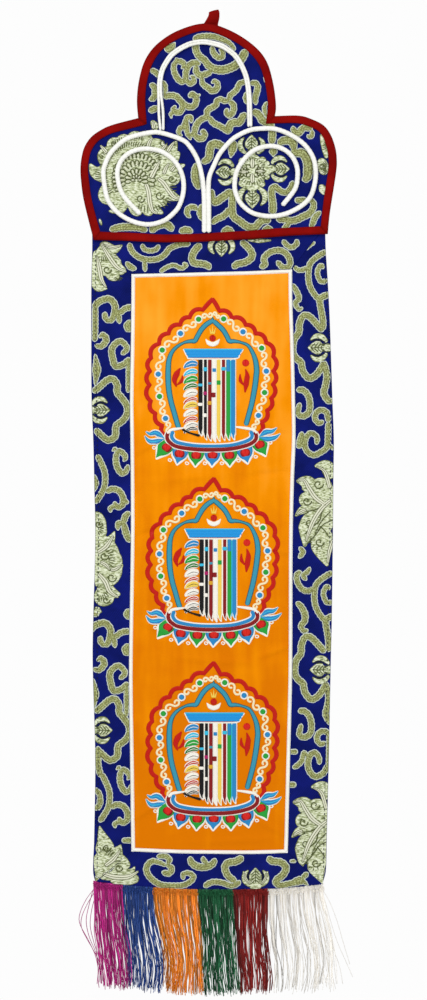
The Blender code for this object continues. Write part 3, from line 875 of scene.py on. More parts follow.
def swept(skin: Skin, sections: Array, closed_path: bool, uv: Array, tint: object = UNDYED) -> None:
    """Adds a tube: sections carried along a path, closed round, with capped ends if the path is open.

    Args:
        skin: what it is added to.
        sections: (steps, round, 3) places.
        closed_path: joins the last section to the first.
        uv: (steps, round, 2) millimetres along and round.
        tint: colour or shade, one for all or one for each place.
    """
    steps, around, _ = sections.shape
    index = np.arange(steps * around).reshape(steps, around)
    points = sections.reshape(-1, 3)
    faces = grid_faces(index, closed_path, True)
    middle = sections.mean(axis=1)
    first = sections[0] - middle[0]
    run = sections[1].mean(axis=0) - middle[0]
    turn = np.cross(first, np.roll(first, -1, axis=0)).sum(axis=0)
    if float(turn @ run) > 0.0:
        faces = faces[:, ::-1]
    parts = [faces]
    if not closed_path:
        caps = [index[0][None, :], index[-1][None, ::-1]]
        parts += [cap[:, ::-1] for cap in caps] if float(turn @ run) > 0.0 else caps
    skin.add(points, parts, uv.reshape(-1, 2), tint)


def finish_piece(
    skin: Skin, name: str, finish: Finish, slot: str, stands_for: tuple[str, ...] = ()
) -> Piece:
    """Makes a piece of a skin, dresses it and puts it in the frame.

    Args:
        skin: its shape.
        name: its name.
        finish: its finish.
        slot: the record's material slot; not used.
        stands_for: the CAD nodes that it replaces.

    Returns:
        The object.
    """
    piece = skin.piece(name)
    piece.data.materials.append(finish.material())
    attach(piece, "root")
    if stands_for:
        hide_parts(*stands_for)
    LOG.info("%s: %d faces", name, len(piece.data.polygons))
    return piece


@dataclass
class Head:
    """The bound brocade head: its cloth and the tape folded round its edge."""

    corner_reach: float = 10.0
    cloth_inset: float = 1.7
    mark_inset: float = 3.6

    # The folded tape: millimetres inwards from the edge, and depth.
    binding_profile = np.array((
        (6.75, -1.15), (6.9, -1.5), (6.6, -1.78), (6.0, -1.92), (5.0, -1.86), (4.0, -1.82), (3.0, -1.88),
        (2.0, -1.86), (1.1, -1.62), (0.4, -1.05), (0.05, -0.35), (0.05, 0.35), (0.4, 1.05), (1.1, 1.62),
        (2.0, 1.86), (3.0, 1.88), (4.0, 1.82), (5.0, 1.86), (6.0, 1.92), (6.6, 1.78), (6.9, 1.5),
        (6.75, 1.15), (1.6, 1.12), (1.45, 0.0), (1.6, -1.12),
    ))

    def __post_init__(self) -> None:
        """Works out the edge ring, the inward steps and the sheet, whose ring keeps every fourth point."""
        self.ring = np.concatenate([even_path(points, count + 1)[:-1] for points, count in HEAD_STRETCHES])
        self.steps = self.inward_steps()
        self.rim = self.ring + self.cloth_inset * self.steps
        mark_ring = self.ring + self.mark_inset * self.steps
        self.cloth = Cloth(self.rim[::4], HEAD_DEPTH, CLOTH_THICK, mark_ring[::4])

    def corners(self) -> Array:
        """Numbers of the ring's points at its four corners."""
        return np.cumsum([0] + [count for _, count in HEAD_STRETCHES])[:4]

    def inward_steps(self) -> Array:
        """Step that moves each point 1 mm inwards: square to the ring, but to the mitre near a corner.

        Returns:
            (points, 2) steps.
        """
        before = self.ring - np.roll(self.ring, 1, axis=0)
        after = np.roll(self.ring, -1, axis=0) - self.ring
        normals = []
        for run in (before, after):
            run = run / np.linalg.norm(run, axis=1, keepdims=True)
            normals.append(np.stack([run[:, 1], -run[:, 0]], axis=1))
        widen = 1.0 + (normals[0] * normals[1]).sum(axis=1, keepdims=True)
        steps = (normals[0] + normals[1]) / widen
        result = steps.copy()
        for corner in self.corners():
            away = np.linalg.norm(self.ring - self.ring[corner], axis=1)
            share = np.clip(away / self.corner_reach, 0.0, 1.0)[:, None]
            result = np.where(share < 1.0, mixed(steps[corner], steps, share), result)
        return result

    def build_cloth(self) -> Piece:
        """The brocade: places from the middle out to the rim on 45 rings, front and back.

        Returns:
            The piece.
        """
        rim = self.rim
        reach = np.concatenate([np.linspace(0.025, 0.97, 40), (0.978, 0.986, 0.993, 0.997, 1.0)])[:, None]
        centre = np.array(HEAD_CENTRE)
        x, z = (mixed(centre[k], rim[None, :, k], reach) for k in range(2))
        edge = ring_distance(x, z, rim)[0]
        edge[-1] = 0.0
        middle, half = self.cloth.middle(x, z, edge), self.cloth.half(edge)
        rows, columns = x.shape
        front = np.arange(rows * columns).reshape(rows, columns)
        back = front + rows * columns
        back[-1] = front[-1]
        front_points = np.stack([x, middle - half, z], axis=-1).reshape(-1, 3)
        back_points = np.stack([x[:-1], (middle + half)[:-1], z[:-1]], axis=-1).reshape(-1, 3)
        hub = self.cloth.middle(centre[:1], centre[1:], np.array([60.0]))[0]
        hubs = np.array([(centre[0], hub + way * self.cloth.thick / 2, centre[1]) for way in (-1, 1)])
        points = np.concatenate([front_points, back_points, hubs])
        numbers = len(points) - 2
        around = np.stack([np.full(columns, numbers), front[0], np.roll(front[0], -1)], axis=1)
        around_back = np.stack([np.full(columns, numbers + 1), back[0], np.roll(back[0], -1)], axis=1)
        faces = [
            facing_front(points, grid_faces(front, wrap_columns=True)),
            facing_front(points, grid_faces(back, wrap_columns=True))[:, ::-1],
            facing_front(points, around),
            facing_front(points, around_back)[:, ::-1],
        ]
        skin = Skin.empty()
        skin.add(points, faces, points[:, [0, 2]])
        return finish_piece(skin, "brocade_head", BROCADE_GROUND, "blue_brocade", ("head_cloth",))

    def build_binding(self) -> Piece:
        """The tape: a folded U profile carried round the ring, with ripples, a crease at each mitre, and
        painted shade in its tint at the folded edges and the mitres.

        Returns:
            The piece.
        """
        along = lengths_along(self.ring)
        crease = np.zeros(len(self.ring))
        for corner in self.corners():
            away = np.linalg.norm(self.ring - self.ring[corner], axis=1)
            crease += np.exp(-((away / 1.2) ** 2))
        swell = 1.0 + 0.035 * np.sin(along / 2.3 + 1.4 * np.sin(along / 19.0)) - 0.22 * crease
        inward, depth = self.binding_profile[:, 0], self.binding_profile[:, 1]
        wander = 0.25 * np.sin(along / 21.0) + 0.12 * np.sin(along / 6.3)
        shift = np.where(inward > 5.0, wander[:, None], 0.0)
        place = self.ring[:, None, :] + (inward + shift)[..., None] * self.steps[:, None, :]
        outer = np.abs(depth) > 1.3
        lift = depth * np.where(outer, swell[:, None], 1.0)
        y = HEAD_DEPTH + drape(place[..., 0], place[..., 1]) + lift
        sections = np.stack([place[..., 0], y, place[..., 1]], axis=-1)
        reach = lengths_along(self.binding_profile)
        uv = np.stack(np.broadcast_arrays(along[:, None], reach[None, :]), axis=-1)
        # Painted shade: the tint darkens the tape towards both folded edges, and more in the mitre creases.
        dark = 1.0 - 0.28 * np.clip(np.abs(inward - 3.5) / 3.4, 0.0, 1.0) ** 4
        shade = dark[None, :, None] * (1.0 - 0.35 * crease[:, None, None])
        shade = np.broadcast_to(shade, (*uv.shape[:2], 3))
        skin = Skin.empty()
        swept(skin, sections, True, uv, shade.reshape(-1, 3))
        return finish_piece(skin, "bias_tape_binding", RED_TAPE, "red_tape", ("head_binding",))

    def build_loop(self) -> Piece:
        """The eye: a flat tape section with rounded sides, carried over from the front leg to the back.

        Returns:
            The piece.
        """
        rows = dense_path(LOOP_SECTIONS, 6)
        run = np.gradient(rows[:, :2], axis=0)
        run /= np.linalg.norm(run, axis=1, keepdims=True)
        outer = np.stack([-run[:, 1], run[:, 0]], axis=1)
        turn = np.linspace(0.0, 2.0 * math.pi, 20, endpoint=False)
        side = np.sign(np.cos(turn)) * np.abs(np.cos(turn)) ** 0.35
        face = np.sign(np.sin(turn)) * np.abs(np.sin(turn)) ** 0.6
        fold = 0.5 + 0.12 * np.cos(side * math.pi)
        x = rows[:, 2:3] + side * rows[:, 3:4] / 2.0
        y = rows[:, 0:1] + face * fold * outer[:, 0:1]
        z = rows[:, 1:2] + face * fold * outer[:, 1:2] + side * rows[:, 4:5] / 2.0
        along = lengths_along(rows[:, :2])
        uv = np.stack(np.broadcast_arrays(along[:, None], side[None, :] * 6.0), axis=-1)
        skin = Skin.empty()
        swept(skin, np.stack([x, y, z], axis=-1), False, uv)
        return finish_piece(skin, "tape_eye", RED_TAPE, "red_tape", ("hanging_loop",))


@dataclass
class SewnCord:
    """A braided cord sewn flat on the head: a round section with crossed plies, carried along its route."""

    name: str
    node: str
    route: tuple
    half_width: float = 2.0
    half_depth: float = 1.65
    ply_mm: float = 3.4

    def sections(
        self, path: Array, half_width: float, half_depth: float, depth: float
    ) -> tuple[Array, Array]:
        """Braid sections: radius plus two crossed families of slanting ridges.

        Args:
            path: even places along the cord.
            half_width: half its width.
            half_depth: half its depth.
            depth: depth of its middle.

        Returns:
            The sections and their uv.
        """
        along = lengths_along(path)
        turn = np.linspace(0.0, 2.0 * math.pi, 18, endpoint=False)
        swirl = along[:, None] * 2.0 * math.pi / self.ply_mm
        ridges = np.maximum(np.sin(3.0 * turn + swirl), np.sin(3.0 * turn - swirl))
        end_share = np.minimum(along, along[-1] - along) / 1.6
        cap = np.sqrt(np.clip(1.0 - (1.0 - np.clip(end_share, 0.0, 1.0)) ** 2, 0.02, 1.0))[:, None]
        swell = (0.92 + 0.1 * ridges) * cap
        side = side_steps(path)
        across = np.cos(turn) * half_width * swell
        x = path[:, 0:1] + side[:, 0:1] * across
        z = path[:, 1:2] + side[:, 1:2] * across
        y = depth + drape(path[:, 0], path[:, 1])[:, None] + np.sin(turn) * half_depth * swell
        uv = np.stack(np.broadcast_arrays(along[:, None], turn[None, :] * half_width), axis=-1)
        return np.stack([x, y, z], axis=-1), uv

    def build(self) -> Piece:
        """The cord as one piece.

        Returns:
            The piece.
        """
        dense = dense_path(self.route, 16)
        count = round(lengths_along(dense)[-1] / 0.75)
        path = even_path(self.route, count)
        skin = Skin.empty()
        self.lay(skin, path)
        return finish_piece(skin, self.name, WHITE_BRAID, "white_cord", (self.node,))

    def lay(self, skin: Skin, path: Array) -> None:
        """Adds the cord along its path."""
        sections, uv = self.sections(path, self.half_width, self.half_depth, CORD_DEPTH)
        swept(skin, sections, False, uv)


class ArchCord(SewnCord):
    """The arch: two thinner cords side by side, which part for a stretch of the left leg."""

    def lay(self, skin: Skin, path: Array) -> None:
        """Two cords 2 mm apart; in the left leg they part by up to 3 mm and close again.

        Args:
            skin: what the cords are added to.
            path: (points, 3) middle line of the pair.
        """
        along = lengths_along(path)
        apart = 1.05 + 0.75 * np.exp(-(((along - 14.0) / 11.0) ** 2))
        side = side_steps(path)
        for way in (-1.0, 1.0):
            strand = path + way * apart[:, None] * side
            sections, uv = self.sections(strand, 1.15, 1.45, CORD_DEPTH)
            swept(skin, sections, False, uv)


@dataclass
class Body:
    """The long body: the orange panel, its mitred brocade frame and the piping between them."""

    piping_corner: float = 0.8
    piping_depth: float = BODY_DEPTH - 0.3
    piping_radius: float = 1.3
    piping_steps_across: int = 140
    piping_steps_down: int = 500
    mark_margin: float = 0.35
    grid_step: float = 1.7
    ring_step: float = 18.0

    def __post_init__(self) -> None:
        """Works out every sheet's grid and ring."""
        self.grids: dict[str, tuple[Array, Array]] = {}
        self.cloths: dict[str, Cloth] = {}
        self.add_sheet("centre_panel", self.panel_place, 130.0, 486.0, PANEL_THICK)
        self.add_sheet("border_left", self.side_place(Side.LEFT), 34.0, 553.0, CLOTH_THICK)
        self.add_sheet("border_right", self.side_place(Side.RIGHT), 34.0, 553.0, CLOTH_THICK)
        self.add_sheet("border_top", self.end_place(End.TOP_EDGE, End.TOP_SEAM), 198.0, 37.0, CLOTH_THICK)
        self.add_sheet("border_bottom", self.end_place(End.HEM, End.BOTTOM_SEAM), 194.0, 31.0, CLOTH_THICK)

    def add_sheet(self, name: str, place: Place, width: float, length: float, thick: float) -> None:
        """Lays a sheet's grid out.

        Args:
            name: the sheet's node.
            place: x and z at shares across and down.
            width: its width across, for the grid's steps.
            length: its length down.
            thick: its thickness.
        """
        self.grids[name] = place(*np.meshgrid(spaced(width, self.grid_step), spaced(length, self.grid_step)))
        outer, inner = [], []
        for side in (width, length):
            shares = np.linspace(0.0, 1.0, max(round(side / self.ring_step), 2) + 1)
            margin = self.mark_margin / side
            outer.append(shares)
            inner.append(mixed(margin, 1.0 - margin, shares))
        ring, mark_ring = (grid_ring(*place(*np.meshgrid(*shares))) for shares in (outer, inner))
        creases = PANEL_CREASES if name == "centre_panel" else ()
        self.cloths[name] = Cloth(ring, BODY_DEPTH, thick, mark_ring, creases)

    def panel_place(self, across: Array, down: Array) -> tuple[Array, Array]:
        """Places on the panel, between the seams.

        Args:
            across: shares from 0 to 1 across the sheet.
            down: shares from 0 to 1 down it.

        Returns:
            Places across and places up, in millimetres.
        """
        z = mixed(end_at(0.0, End.TOP_SEAM), end_at(0.0, End.BOTTOM_SEAM), down)
        left = side_at(SEAM_SIDES, z, Side.LEFT) + SEAM_HALF
        right = side_at(SEAM_SIDES, z, Side.RIGHT) - SEAM_HALF
        x = mixed(left, right, across)
        return x, mixed(end_at(x, End.TOP_SEAM) - SEAM_HALF, end_at(x, End.BOTTOM_SEAM) + SEAM_HALF, down)

    def side_place(self, column: Side) -> Place:
        """Places on a side strip, from its outer edge to the seam, with its ends cut to the mitres.

        Args:
            column: the side that the strip is on.

        Returns:
            The strip's place function.
        """
        outwards = -1.0 if column is Side.LEFT else 1.0
        corner_x = side_at(BODY_SIDES, -720.0, column)
        inner_x = side_at(SEAM_SIDES, -470.0, column)

        def place(across: Array, down: Array) -> tuple[Array, Array]:
            """Places at shares across and down.

            Args:
                across: shares from 0 to 1 from the outer edge to the seam.
                down: shares from 0 to 1 down the strip.

            Returns:
                Places across and places up, in millimetres.
            """
            outer_z = mixed(end_at(corner_x, End.TOP_EDGE) + LAP, end_at(corner_x, End.HEM) - LAP, down)
            seam_top = end_at(inner_x, End.TOP_SEAM) + SEAM_HALF + LAP
            seam_bottom = end_at(inner_x, End.BOTTOM_SEAM) - SEAM_HALF - LAP
            inner_z = mixed(seam_top, seam_bottom, down)
            outer_x = side_at(BODY_SIDES, outer_z, column)
            seam_x = side_at(SEAM_SIDES, inner_z, column) + outwards * SEAM_HALF
            return mixed(outer_x, seam_x, across), mixed(outer_z, inner_z, across)

        return place

    def end_place(self, outer_column: End, seam_column: End) -> Place:
        """Places on the top or bottom strip, from its outer edge to the seam.

        Args:
            outer_column: the line of its outer edge.
            seam_column: the line of its seam.

        Returns:
            The strip's place function.
        """
        outwards = 1.0 if outer_column is End.TOP_EDGE else -1.0
        outer_z = end_at(0.0, outer_column)
        seam_z = end_at(0.0, seam_column)

        def place(across: Array, down: Array) -> tuple[Array, Array]:
            """Places at shares across and down.

            Args:
                across: shares from 0 to 1 across the strip.
                down: shares from 0 to 1 from the outer edge to the seam.

            Returns:
                Places across and places up, in millimetres.
            """
            outer_left = side_at(BODY_SIDES, outer_z, Side.LEFT)
            outer_right = side_at(BODY_SIDES, outer_z, Side.RIGHT)
            outer_x = mixed(outer_left, outer_right, across)
            seam_left = side_at(SEAM_SIDES, seam_z, Side.LEFT) - SEAM_HALF
            seam_right = side_at(SEAM_SIDES, seam_z, Side.RIGHT) + SEAM_HALF
            seam_x = mixed(seam_left, seam_right, across)
            seam_height = end_at(seam_x, seam_column) + outwards * SEAM_HALF
            strip_z = mixed(end_at(outer_x, outer_column), seam_height, down)
            return mixed(outer_x, seam_x, down), strip_z

        return place

    def build_borders(self) -> dict[str, Piece]:
        """The four brocade strips.

        Returns:
            The strips by their nodes' names.
        """
        names = ("border_top", "border_left", "border_right", "border_bottom")
        return {
            name: finish_piece(
                cloth_grid(self.cloths[name], *self.grids[name]),
                name.replace("border", "brocade_border"), BROCADE_GROUND, "blue_brocade", (name,),
            )
            for name in names
        }

    def build_panel(self) -> Piece:
        """The orange panel."""
        skin = cloth_grid(self.cloths["centre_panel"], *self.grids["centre_panel"])
        return finish_piece(skin, "satin_panel", ORANGE_SATIN, "orange_satin", ("centre_panel",))

    def seam_ring(self) -> Array:
        """Even places round the panel's seam, clockwise from the top left, with its corners cut a little.

        Returns:
            (points, 2) places.
        """
        cut = self.piping_corner
        left_x, right_x = side_at(SEAM_SIDES, -250.0, Side.LEFT), side_at(SEAM_SIDES, -250.0, Side.RIGHT)
        low_left, low_right = side_at(SEAM_SIDES, -710.0, Side.LEFT), side_at(SEAM_SIDES, -710.0, Side.RIGHT)
        top_left, top_right = end_at(left_x, End.TOP_SEAM), end_at(right_x, End.TOP_SEAM)
        foot_left, foot_right = end_at(low_left, End.BOTTOM_SEAM), end_at(low_right, End.BOTTOM_SEAM)
        top_x = np.linspace(left_x + cut, right_x - cut, self.piping_steps_across)
        right_z = np.linspace(top_right - cut, foot_right + cut, self.piping_steps_down)
        bottom_x = np.linspace(low_right - cut, low_left + cut, self.piping_steps_across)
        left_z = np.linspace(foot_left + cut, top_left - cut, self.piping_steps_down)
        parts = [
            (top_x, end_at(top_x, End.TOP_SEAM)), (side_at(SEAM_SIDES, right_z, Side.RIGHT), right_z),
            (bottom_x, end_at(bottom_x, End.BOTTOM_SEAM)), (side_at(SEAM_SIDES, left_z, Side.LEFT), left_z),
        ]
        return np.concatenate([np.stack(part, axis=1) for part in parts])

    def build_piping(self) -> Piece:
        """The piping: a round section with one slow twist of ridges, carried round the seam.

        Returns:
            The piece.
        """
        path = self.seam_ring()
        along = lengths_along(path)
        turn = np.linspace(0.0, 2.0 * math.pi, 14, endpoint=False)
        twist = 0.1 * np.sin(turn * 2.0 + along[:, None] * 2.0 * math.pi / 3.1)
        radius = self.piping_radius + twist + 0.05 * np.sin(along[:, None] / 4.7)
        side = side_steps(path, closed=True)
        x = path[:, 0:1] + side[:, 0:1] * np.cos(turn) * radius
        z = path[:, 1:2] + side[:, 1:2] * np.cos(turn) * radius
        y = self.piping_depth + drape(path[:, 0], path[:, 1])[:, None] + np.sin(turn) * radius
        uv = np.stack(np.broadcast_arrays(along[:, None], turn[None, :] * self.piping_radius), axis=-1)
        skin = Skin.empty()
        swept(skin, np.stack([x, y, z], axis=-1), True, uv)
        return finish_piece(skin, "seam_piping", WHITE_PIPING, "white_piping", ("panel_piping",))


def cells(places: str) -> Places:
    """Places on the chart, from text such as "12,30 14.5,31"."""
    return tuple(tuple(map(float, place.split(","))) for place in places.split())


@dataclass
class Fringe:
    """One colour of fringe: looped heading and loose wavy threads."""

    node: str
    root_left: float
    root_right: float
    end_left: float
    end_right: float
    strays: tuple[Places, ...] = ()
    threads_per_mm: float = 3.9
    lock_size: float = 3.6
    samples: int = 26
    drop: float = 85.0
    shortest: float = 62.0
    longest: float = 89.0
    thread_radius: float = 0.42
    shade_spread: float = 0.36
    curls_per_mm: float = 2.4
    curl_radius: float = 0.36

    def build(self, chance: np.random.Generator) -> Piece:
        """The fringe as one piece.

        Args:
            chance: the source of random draws.

        Returns:
            The piece.
        """
        slot, finish = THREADS[self.node]
        skin = Skin.empty()
        self.hang_threads(skin, chance)
        self.add_heading(skin, chance)
        for route in self.strays:
            self.add_stray(skin, route)
        return finish_piece(skin, self.node.replace("fringe_", "thread_fringe_"), finish, slot, (self.node,))

    def hang_threads(self, skin: Skin, chance: np.random.Generator) -> None:
        """Threads hang from even roots in locks: a lock's threads draw together and wave as one.

        Args:
            skin: what the threads are added to.
            chance: the source of random draws.
        """
        count = round((self.root_right - self.root_left) * self.threads_per_mm)
        share = (np.arange(count) + chance.uniform(0.2, 0.8, count)) / count
        root = mixed(self.root_left, self.root_right, share)
        breaks = chance.random(count) < 1.0 / self.lock_size
        lock = np.cumsum(breaks)
        locks = lock[-1] + 1
        lock_share = np.array([share[lock == k].mean() if (lock == k).any() else 0.5 for k in range(locks)])
        lean = chance.normal(0.0, 0.03, locks)
        draw = chance.uniform(0.35, 0.9, count)
        end_share = mixed(share, lock_share[lock], draw) + lean[lock] + chance.normal(0.0, 0.006, count)
        end_share = np.clip(end_share, -0.04, 1.04)
        end = mixed(self.end_left, self.end_right, end_share)
        drop = self.drop + chance.normal(0.0, 1.6, locks)[lock] + chance.normal(0.0, 1.4, count)
        drop = np.clip(drop - 12.0 * (chance.random(count) < 0.05), self.shortest, self.longest)
        down = np.linspace(0.0, 1.0, self.samples)[None, :]
        lock_wave = chance.uniform(0.0, 2.0 * math.pi, (locks, 3))[lock]
        lock_size = chance.uniform(0.3, 1.3, (locks, 2))[lock]
        own_wave = chance.uniform(0.0, 2.0 * math.pi, (count, 2))
        own_size = chance.uniform(0.1, 0.9, (count, 1)) + 1.5 * (chance.random((count, 1)) < 0.12)
        kink = chance.uniform(0.0, 0.22, (count, 1))
        x = mixed(root[:, None], end[:, None], eased(down * 1.1))
        x = x + chance.normal(0.0, 0.9, (count, 1)) * down
        x = x + 1.5 * down * np.sin(6.5 * down + root[:, None] / 19.0)
        x = x + lock_size[:, :1] * down**0.8 * np.sin(7.0 * down + lock_wave[:, :1])
        ripple = np.sin(21.0 * down + lock_wave[:, 1:2])
        x = x + 0.25 * lock_size[:, 1:] * np.minimum(3.0 * down, 1.0) * ripple
        x = x + own_size * down**0.6 * np.sin(9.0 * down + own_wave[:, :1])
        x = x + kink * np.minimum(4.0 * down, 1.0) * np.sin(27.0 * down + own_wave[:, 1:])
        hem = end_at(root, End.HEM)[:, None]
        z = hem + 0.9 - (drop[:, None] + 1.9) * down
        spread = np.minimum(0.25 + 14.0 * down, 1.0)
        y = BODY_DEPTH + drape(root[:, None], hem) + chance.uniform(-1.1, 1.1, (count, 1)) * spread
        y = y + 1.6 * down * np.sin(4.2 * down + root[:, None] / 15.0 + 0.7)
        y = y + 0.7 * down * np.sin(6.0 * down + lock_wave[:, 2:3])
        radius = self.thread_radius * mixed(1.0, 0.7, down) * np.ones((count, 1))
        lock_shade = chance.normal(1.0, 0.6 * self.shade_spread, locks)
        pair_shade = np.repeat(chance.normal(0.0, self.shade_spread, count // 2 + 1), 2)[:count]
        shade = np.clip(lock_shade[lock] + pair_shade, 0.3, 1.9)
        self.tubes(skin, x, y, z, radius, shade)

    def add_stray(self, skin: Skin, route: Places) -> None:
        """One thread that has left the others, along its own route on the chart.

        Args:
            skin: what the thread is added to.
            route: the places it runs through.
        """
        dense = dense_path(chart_to_mm(route), 10)
        path = at_lengths(dense, np.linspace(0.0, lengths_along(dense)[-1], self.samples))
        x, z = path[None, :, 0], path[None, :, 1]
        sway = 0.8 * np.sin(np.linspace(0.0, 5.0, self.samples))
        y = BODY_DEPTH + drape(x[:, :1], z[:, :1]) + sway[None, :]
        self.tubes(skin, x, y, z, np.full(x.shape, self.thread_radius * 0.8), np.ones(1))

    def add_heading(self, skin: Skin, chance: np.random.Generator) -> None:
        """Rows of small curls under the hem: each thread end rolls once round a 1.6 mm circle that leans.

        Args:
            skin: what the threads are added to.
            chance: the source of random draws.
        """
        count = round((self.root_right - self.root_left) * self.curls_per_mm)
        root = np.linspace(self.root_left + 0.6, self.root_right - 0.6, count)[:, None]
        turn = np.linspace(0.0, 2.0 * math.pi, 10)[None, :] + chance.uniform(0.0, 6.28, (count, 1))
        reach = chance.uniform(0.8, 1.9, (count, 1))
        low = chance.uniform(0.6, 4.6, (count, 1))
        hem = end_at(root, End.HEM)
        x = np.clip(root + reach * np.cos(turn), self.root_left - 0.6, self.root_right + 0.6)
        z = hem - GAP - low + reach * 0.8 * np.sin(turn)
        y = BODY_DEPTH + drape(root, hem) - 1.15 + 0.35 * np.sin(turn * 0.5)
        self.tubes(skin, x, y, z, np.full(x.shape, self.curl_radius), chance.uniform(1.0, 1.35, count))

    def tubes(self, skin: Skin, x: Array, y: Array, z: Array, radius: Array, shade: Array) -> None:
        """Adds many three-sided threads at once.

        Args:
            skin: what they are added to.
            x: (threads, samples) places across.
            y: depths.
            z: places up.
            radius: (threads, samples) radii.
            shade: one brightness for each thread.
        """
        threads, samples = x.shape
        turn = np.array((0.5, 2.6, 4.7))
        across = x[..., None] + radius[..., None] * np.cos(turn)
        deep = y[..., None] + radius[..., None] * np.sin(turn)
        sections = np.stack(np.broadcast_arrays(across, deep, z[..., None]), axis=-1)
        index = np.arange(threads * samples * 3).reshape(threads, samples, 3)
        wrapped = np.concatenate([index, index[:, :, :1]], axis=2)
        corners = [wrapped[:, :-1, :-1], wrapped[:, 1:, :-1], wrapped[:, 1:, 1:], wrapped[:, :-1, 1:]]
        sides = np.stack(corners, axis=-1).reshape(-1, 4)
        along = np.linspace(0.0, 1.0, samples) * self.drop
        round_it = turn[None, None, :] + index[:, :1, :1]
        uv = np.stack(np.broadcast_arrays(along[None, :, None], round_it), axis=-1)
        tint = np.broadcast_to(shade[:, None, None, None], (threads, samples, 3, 3))
        caps = [index[:, 0, ::-1], index[:, -1, :]]
        skin.add(sections.reshape(-1, 3), [sides[:, ::-1], *caps], uv.reshape(-1, 2), tint.reshape(-1, 3))


FRINGES = (
    Fringe("fringe_magenta", -101.4, -77.4, -96.6, -71.6, (
        cells("96,890 88,903 82,916 81,927 86,938 93,950 99,962 101,975"),
        cells("94,889 86,900 80,913 79.5,924 88,940 95,955 98,968"),
        cells("93,890 89,905 86,921 89,937 96,954 98,970 97,984"),
        cells("97,892 92,908 90,926 94,944 99,960 98,978 99,988"),
        cells("100,892 97,910 95,930 99,950 104,970 105,990"),
    )),
    Fringe("fringe_blue", -77.0, -51.3, -73.4, -42.6),
    Fringe("fringe_orange", -50.9, -13.7, -41.2, -8.4),
    Fringe("fringe_green", -13.3, 16.2, -7.2, 19.6),
    Fringe("fringe_dark_red", 16.6, 45.8, 20.8, 46.8),
    Fringe("fringe_white", 46.2, 93.2, 48.4, 104.5, (
        cells("322,892 327,908 332,926 338,944 346,962 353,978"),
        cells("319,892 325,910 331,930 334,950 340,968 343,985"),
        cells("323,891 330,903 337,921 342,938 347,955 350,965"),
        cells("315,892 322,915 327,936 331,958 333,978 336,990"),
        cells("300,893 306,915 313,935 316,958 324,975 327,988"),
    ), threads_per_mm=1.7, lock_size=2.2, thread_radius=0.34, shade_spread=0.2),
)


@dataclass(frozen=True)
class Mark:
    """One woven or stitched mark: a path on the weaver's chart, and its width along it, in cells."""

    widths: tuple[float, ...]
    points: Places
    tint: str = "FFFFFF"
    level: int = 0
    flat_ends: bool = False


@dataclass(frozen=True)
class Group:
    """Marks of one figure, with the moves, in cells, at which the loom repeats it."""

    marks: tuple[Mark, ...]
    moves: Places = ((0.0, 0.0),)

    def laid(self) -> list[Mark]:
        """Every mark at every repeat."""
        return [moved(mark, *move) for move in self.moves for mark in self.marks]


def moved(mark: Mark, right: float, down: float) -> Mark:
    """A mark moved by some cells."""
    return replace(mark, points=tuple((x + right, y + down) for x, y in mark.points))


def chart(rows: str, tint: str = "FFFFFF", level: int = 0) -> tuple[Mark, ...]:
    """Marks noted as text, with a semicolon between them: widths, a colon, then the places they run through.

    Args:
        rows: the notes, all in cells; a mark with one place is a round knob.
        tint: colour that they all have.
        level: how far up they all lie.

    Returns:
        The marks.
    """
    marks = []
    for row in rows.split(";"):
        widths, places = row.split(":")
        sizes, points = tuple(map(float, widths.split())), cells(places)
        if len(points) == 1:
            x, y = points[0]
            sizes, points = sizes * 2, ((x - KNOB_HALF, y), (x + KNOB_HALF, y))
        marks.append(Mark(sizes, points, tint, level))
    return tuple(marks)


def chart_to_mm(points: Array) -> Array:
    """Places on the chart as x and z in millimetres.

    Args:
        points: places in cells.

    Returns:
        (points, 2) places in millimetres.
    """
    points = np.asarray(points, dtype=float)
    x, z = points[:, 0] - CHART_ORIGIN[0], CHART_ORIGIN[1] - points[:, 1]
    return np.stack([x * CELL, z * CELL], axis=1)


def placed(x: float, y: float, turn: float, local: Places, size: float = 1.0) -> tuple:
    """Points given along and to the right of a direction, put on the chart.

    Args:
        x: where they start from, in cells.
        y: where they start from, in cells.
        turn: direction in degrees, 0 to the right and 90 down.
        local: cells along the direction and to its right.
        size: factor on them.

    Returns:
        The points on the chart.
    """
    along = np.array((math.cos(math.radians(turn)), math.sin(math.radians(turn))))
    right = np.array((-along[1], along[0]))
    return tuple(
        (float(x + size * (a * along[0] + s * right[0])), float(y + size * (a * along[1] + s * right[1])))
        for a, s in local
    )


def spiral(x: float, y: float, radius: float, turns: float) -> Places:
    """Points on a spiral that closes in evenly from a radius to its middle.

    Args:
        x: its middle, in cells.
        y: its middle, in cells.
        radius: radius at its outer end.
        turns: how often it goes round.

    Returns:
        The points.
    """
    t = np.linspace(0.0, 1.0, 16)
    angle = t * turns * 2.0 * math.pi
    reach = radius * (1.0 - 0.85 * t)
    return tuple(zip((x + reach * np.cos(angle)).tolist(), (y + reach * np.sin(angle)).tolist()))


def dashes(points: Places, pitch: float, length: float) -> list[Mark]:
    """A run of dark stitches along a path, all in cells.

    Args:
        points: places that the path runs through.
        pitch: from the start of one stitch to the next.
        length: length of a stitch.

    Returns:
        The stitches.
    """
    path = dense_path(points, 12)
    begins = np.arange(0.0, lengths_along(path)[-1] - length, pitch)
    starts, stops = (at_lengths(path, begins + shift).tolist() for shift in (0.0, length))
    return [Mark((0.7, 0.8), (tuple(a), tuple(b)), INK_TINT, 1) for a, b in zip(starts, stops)]


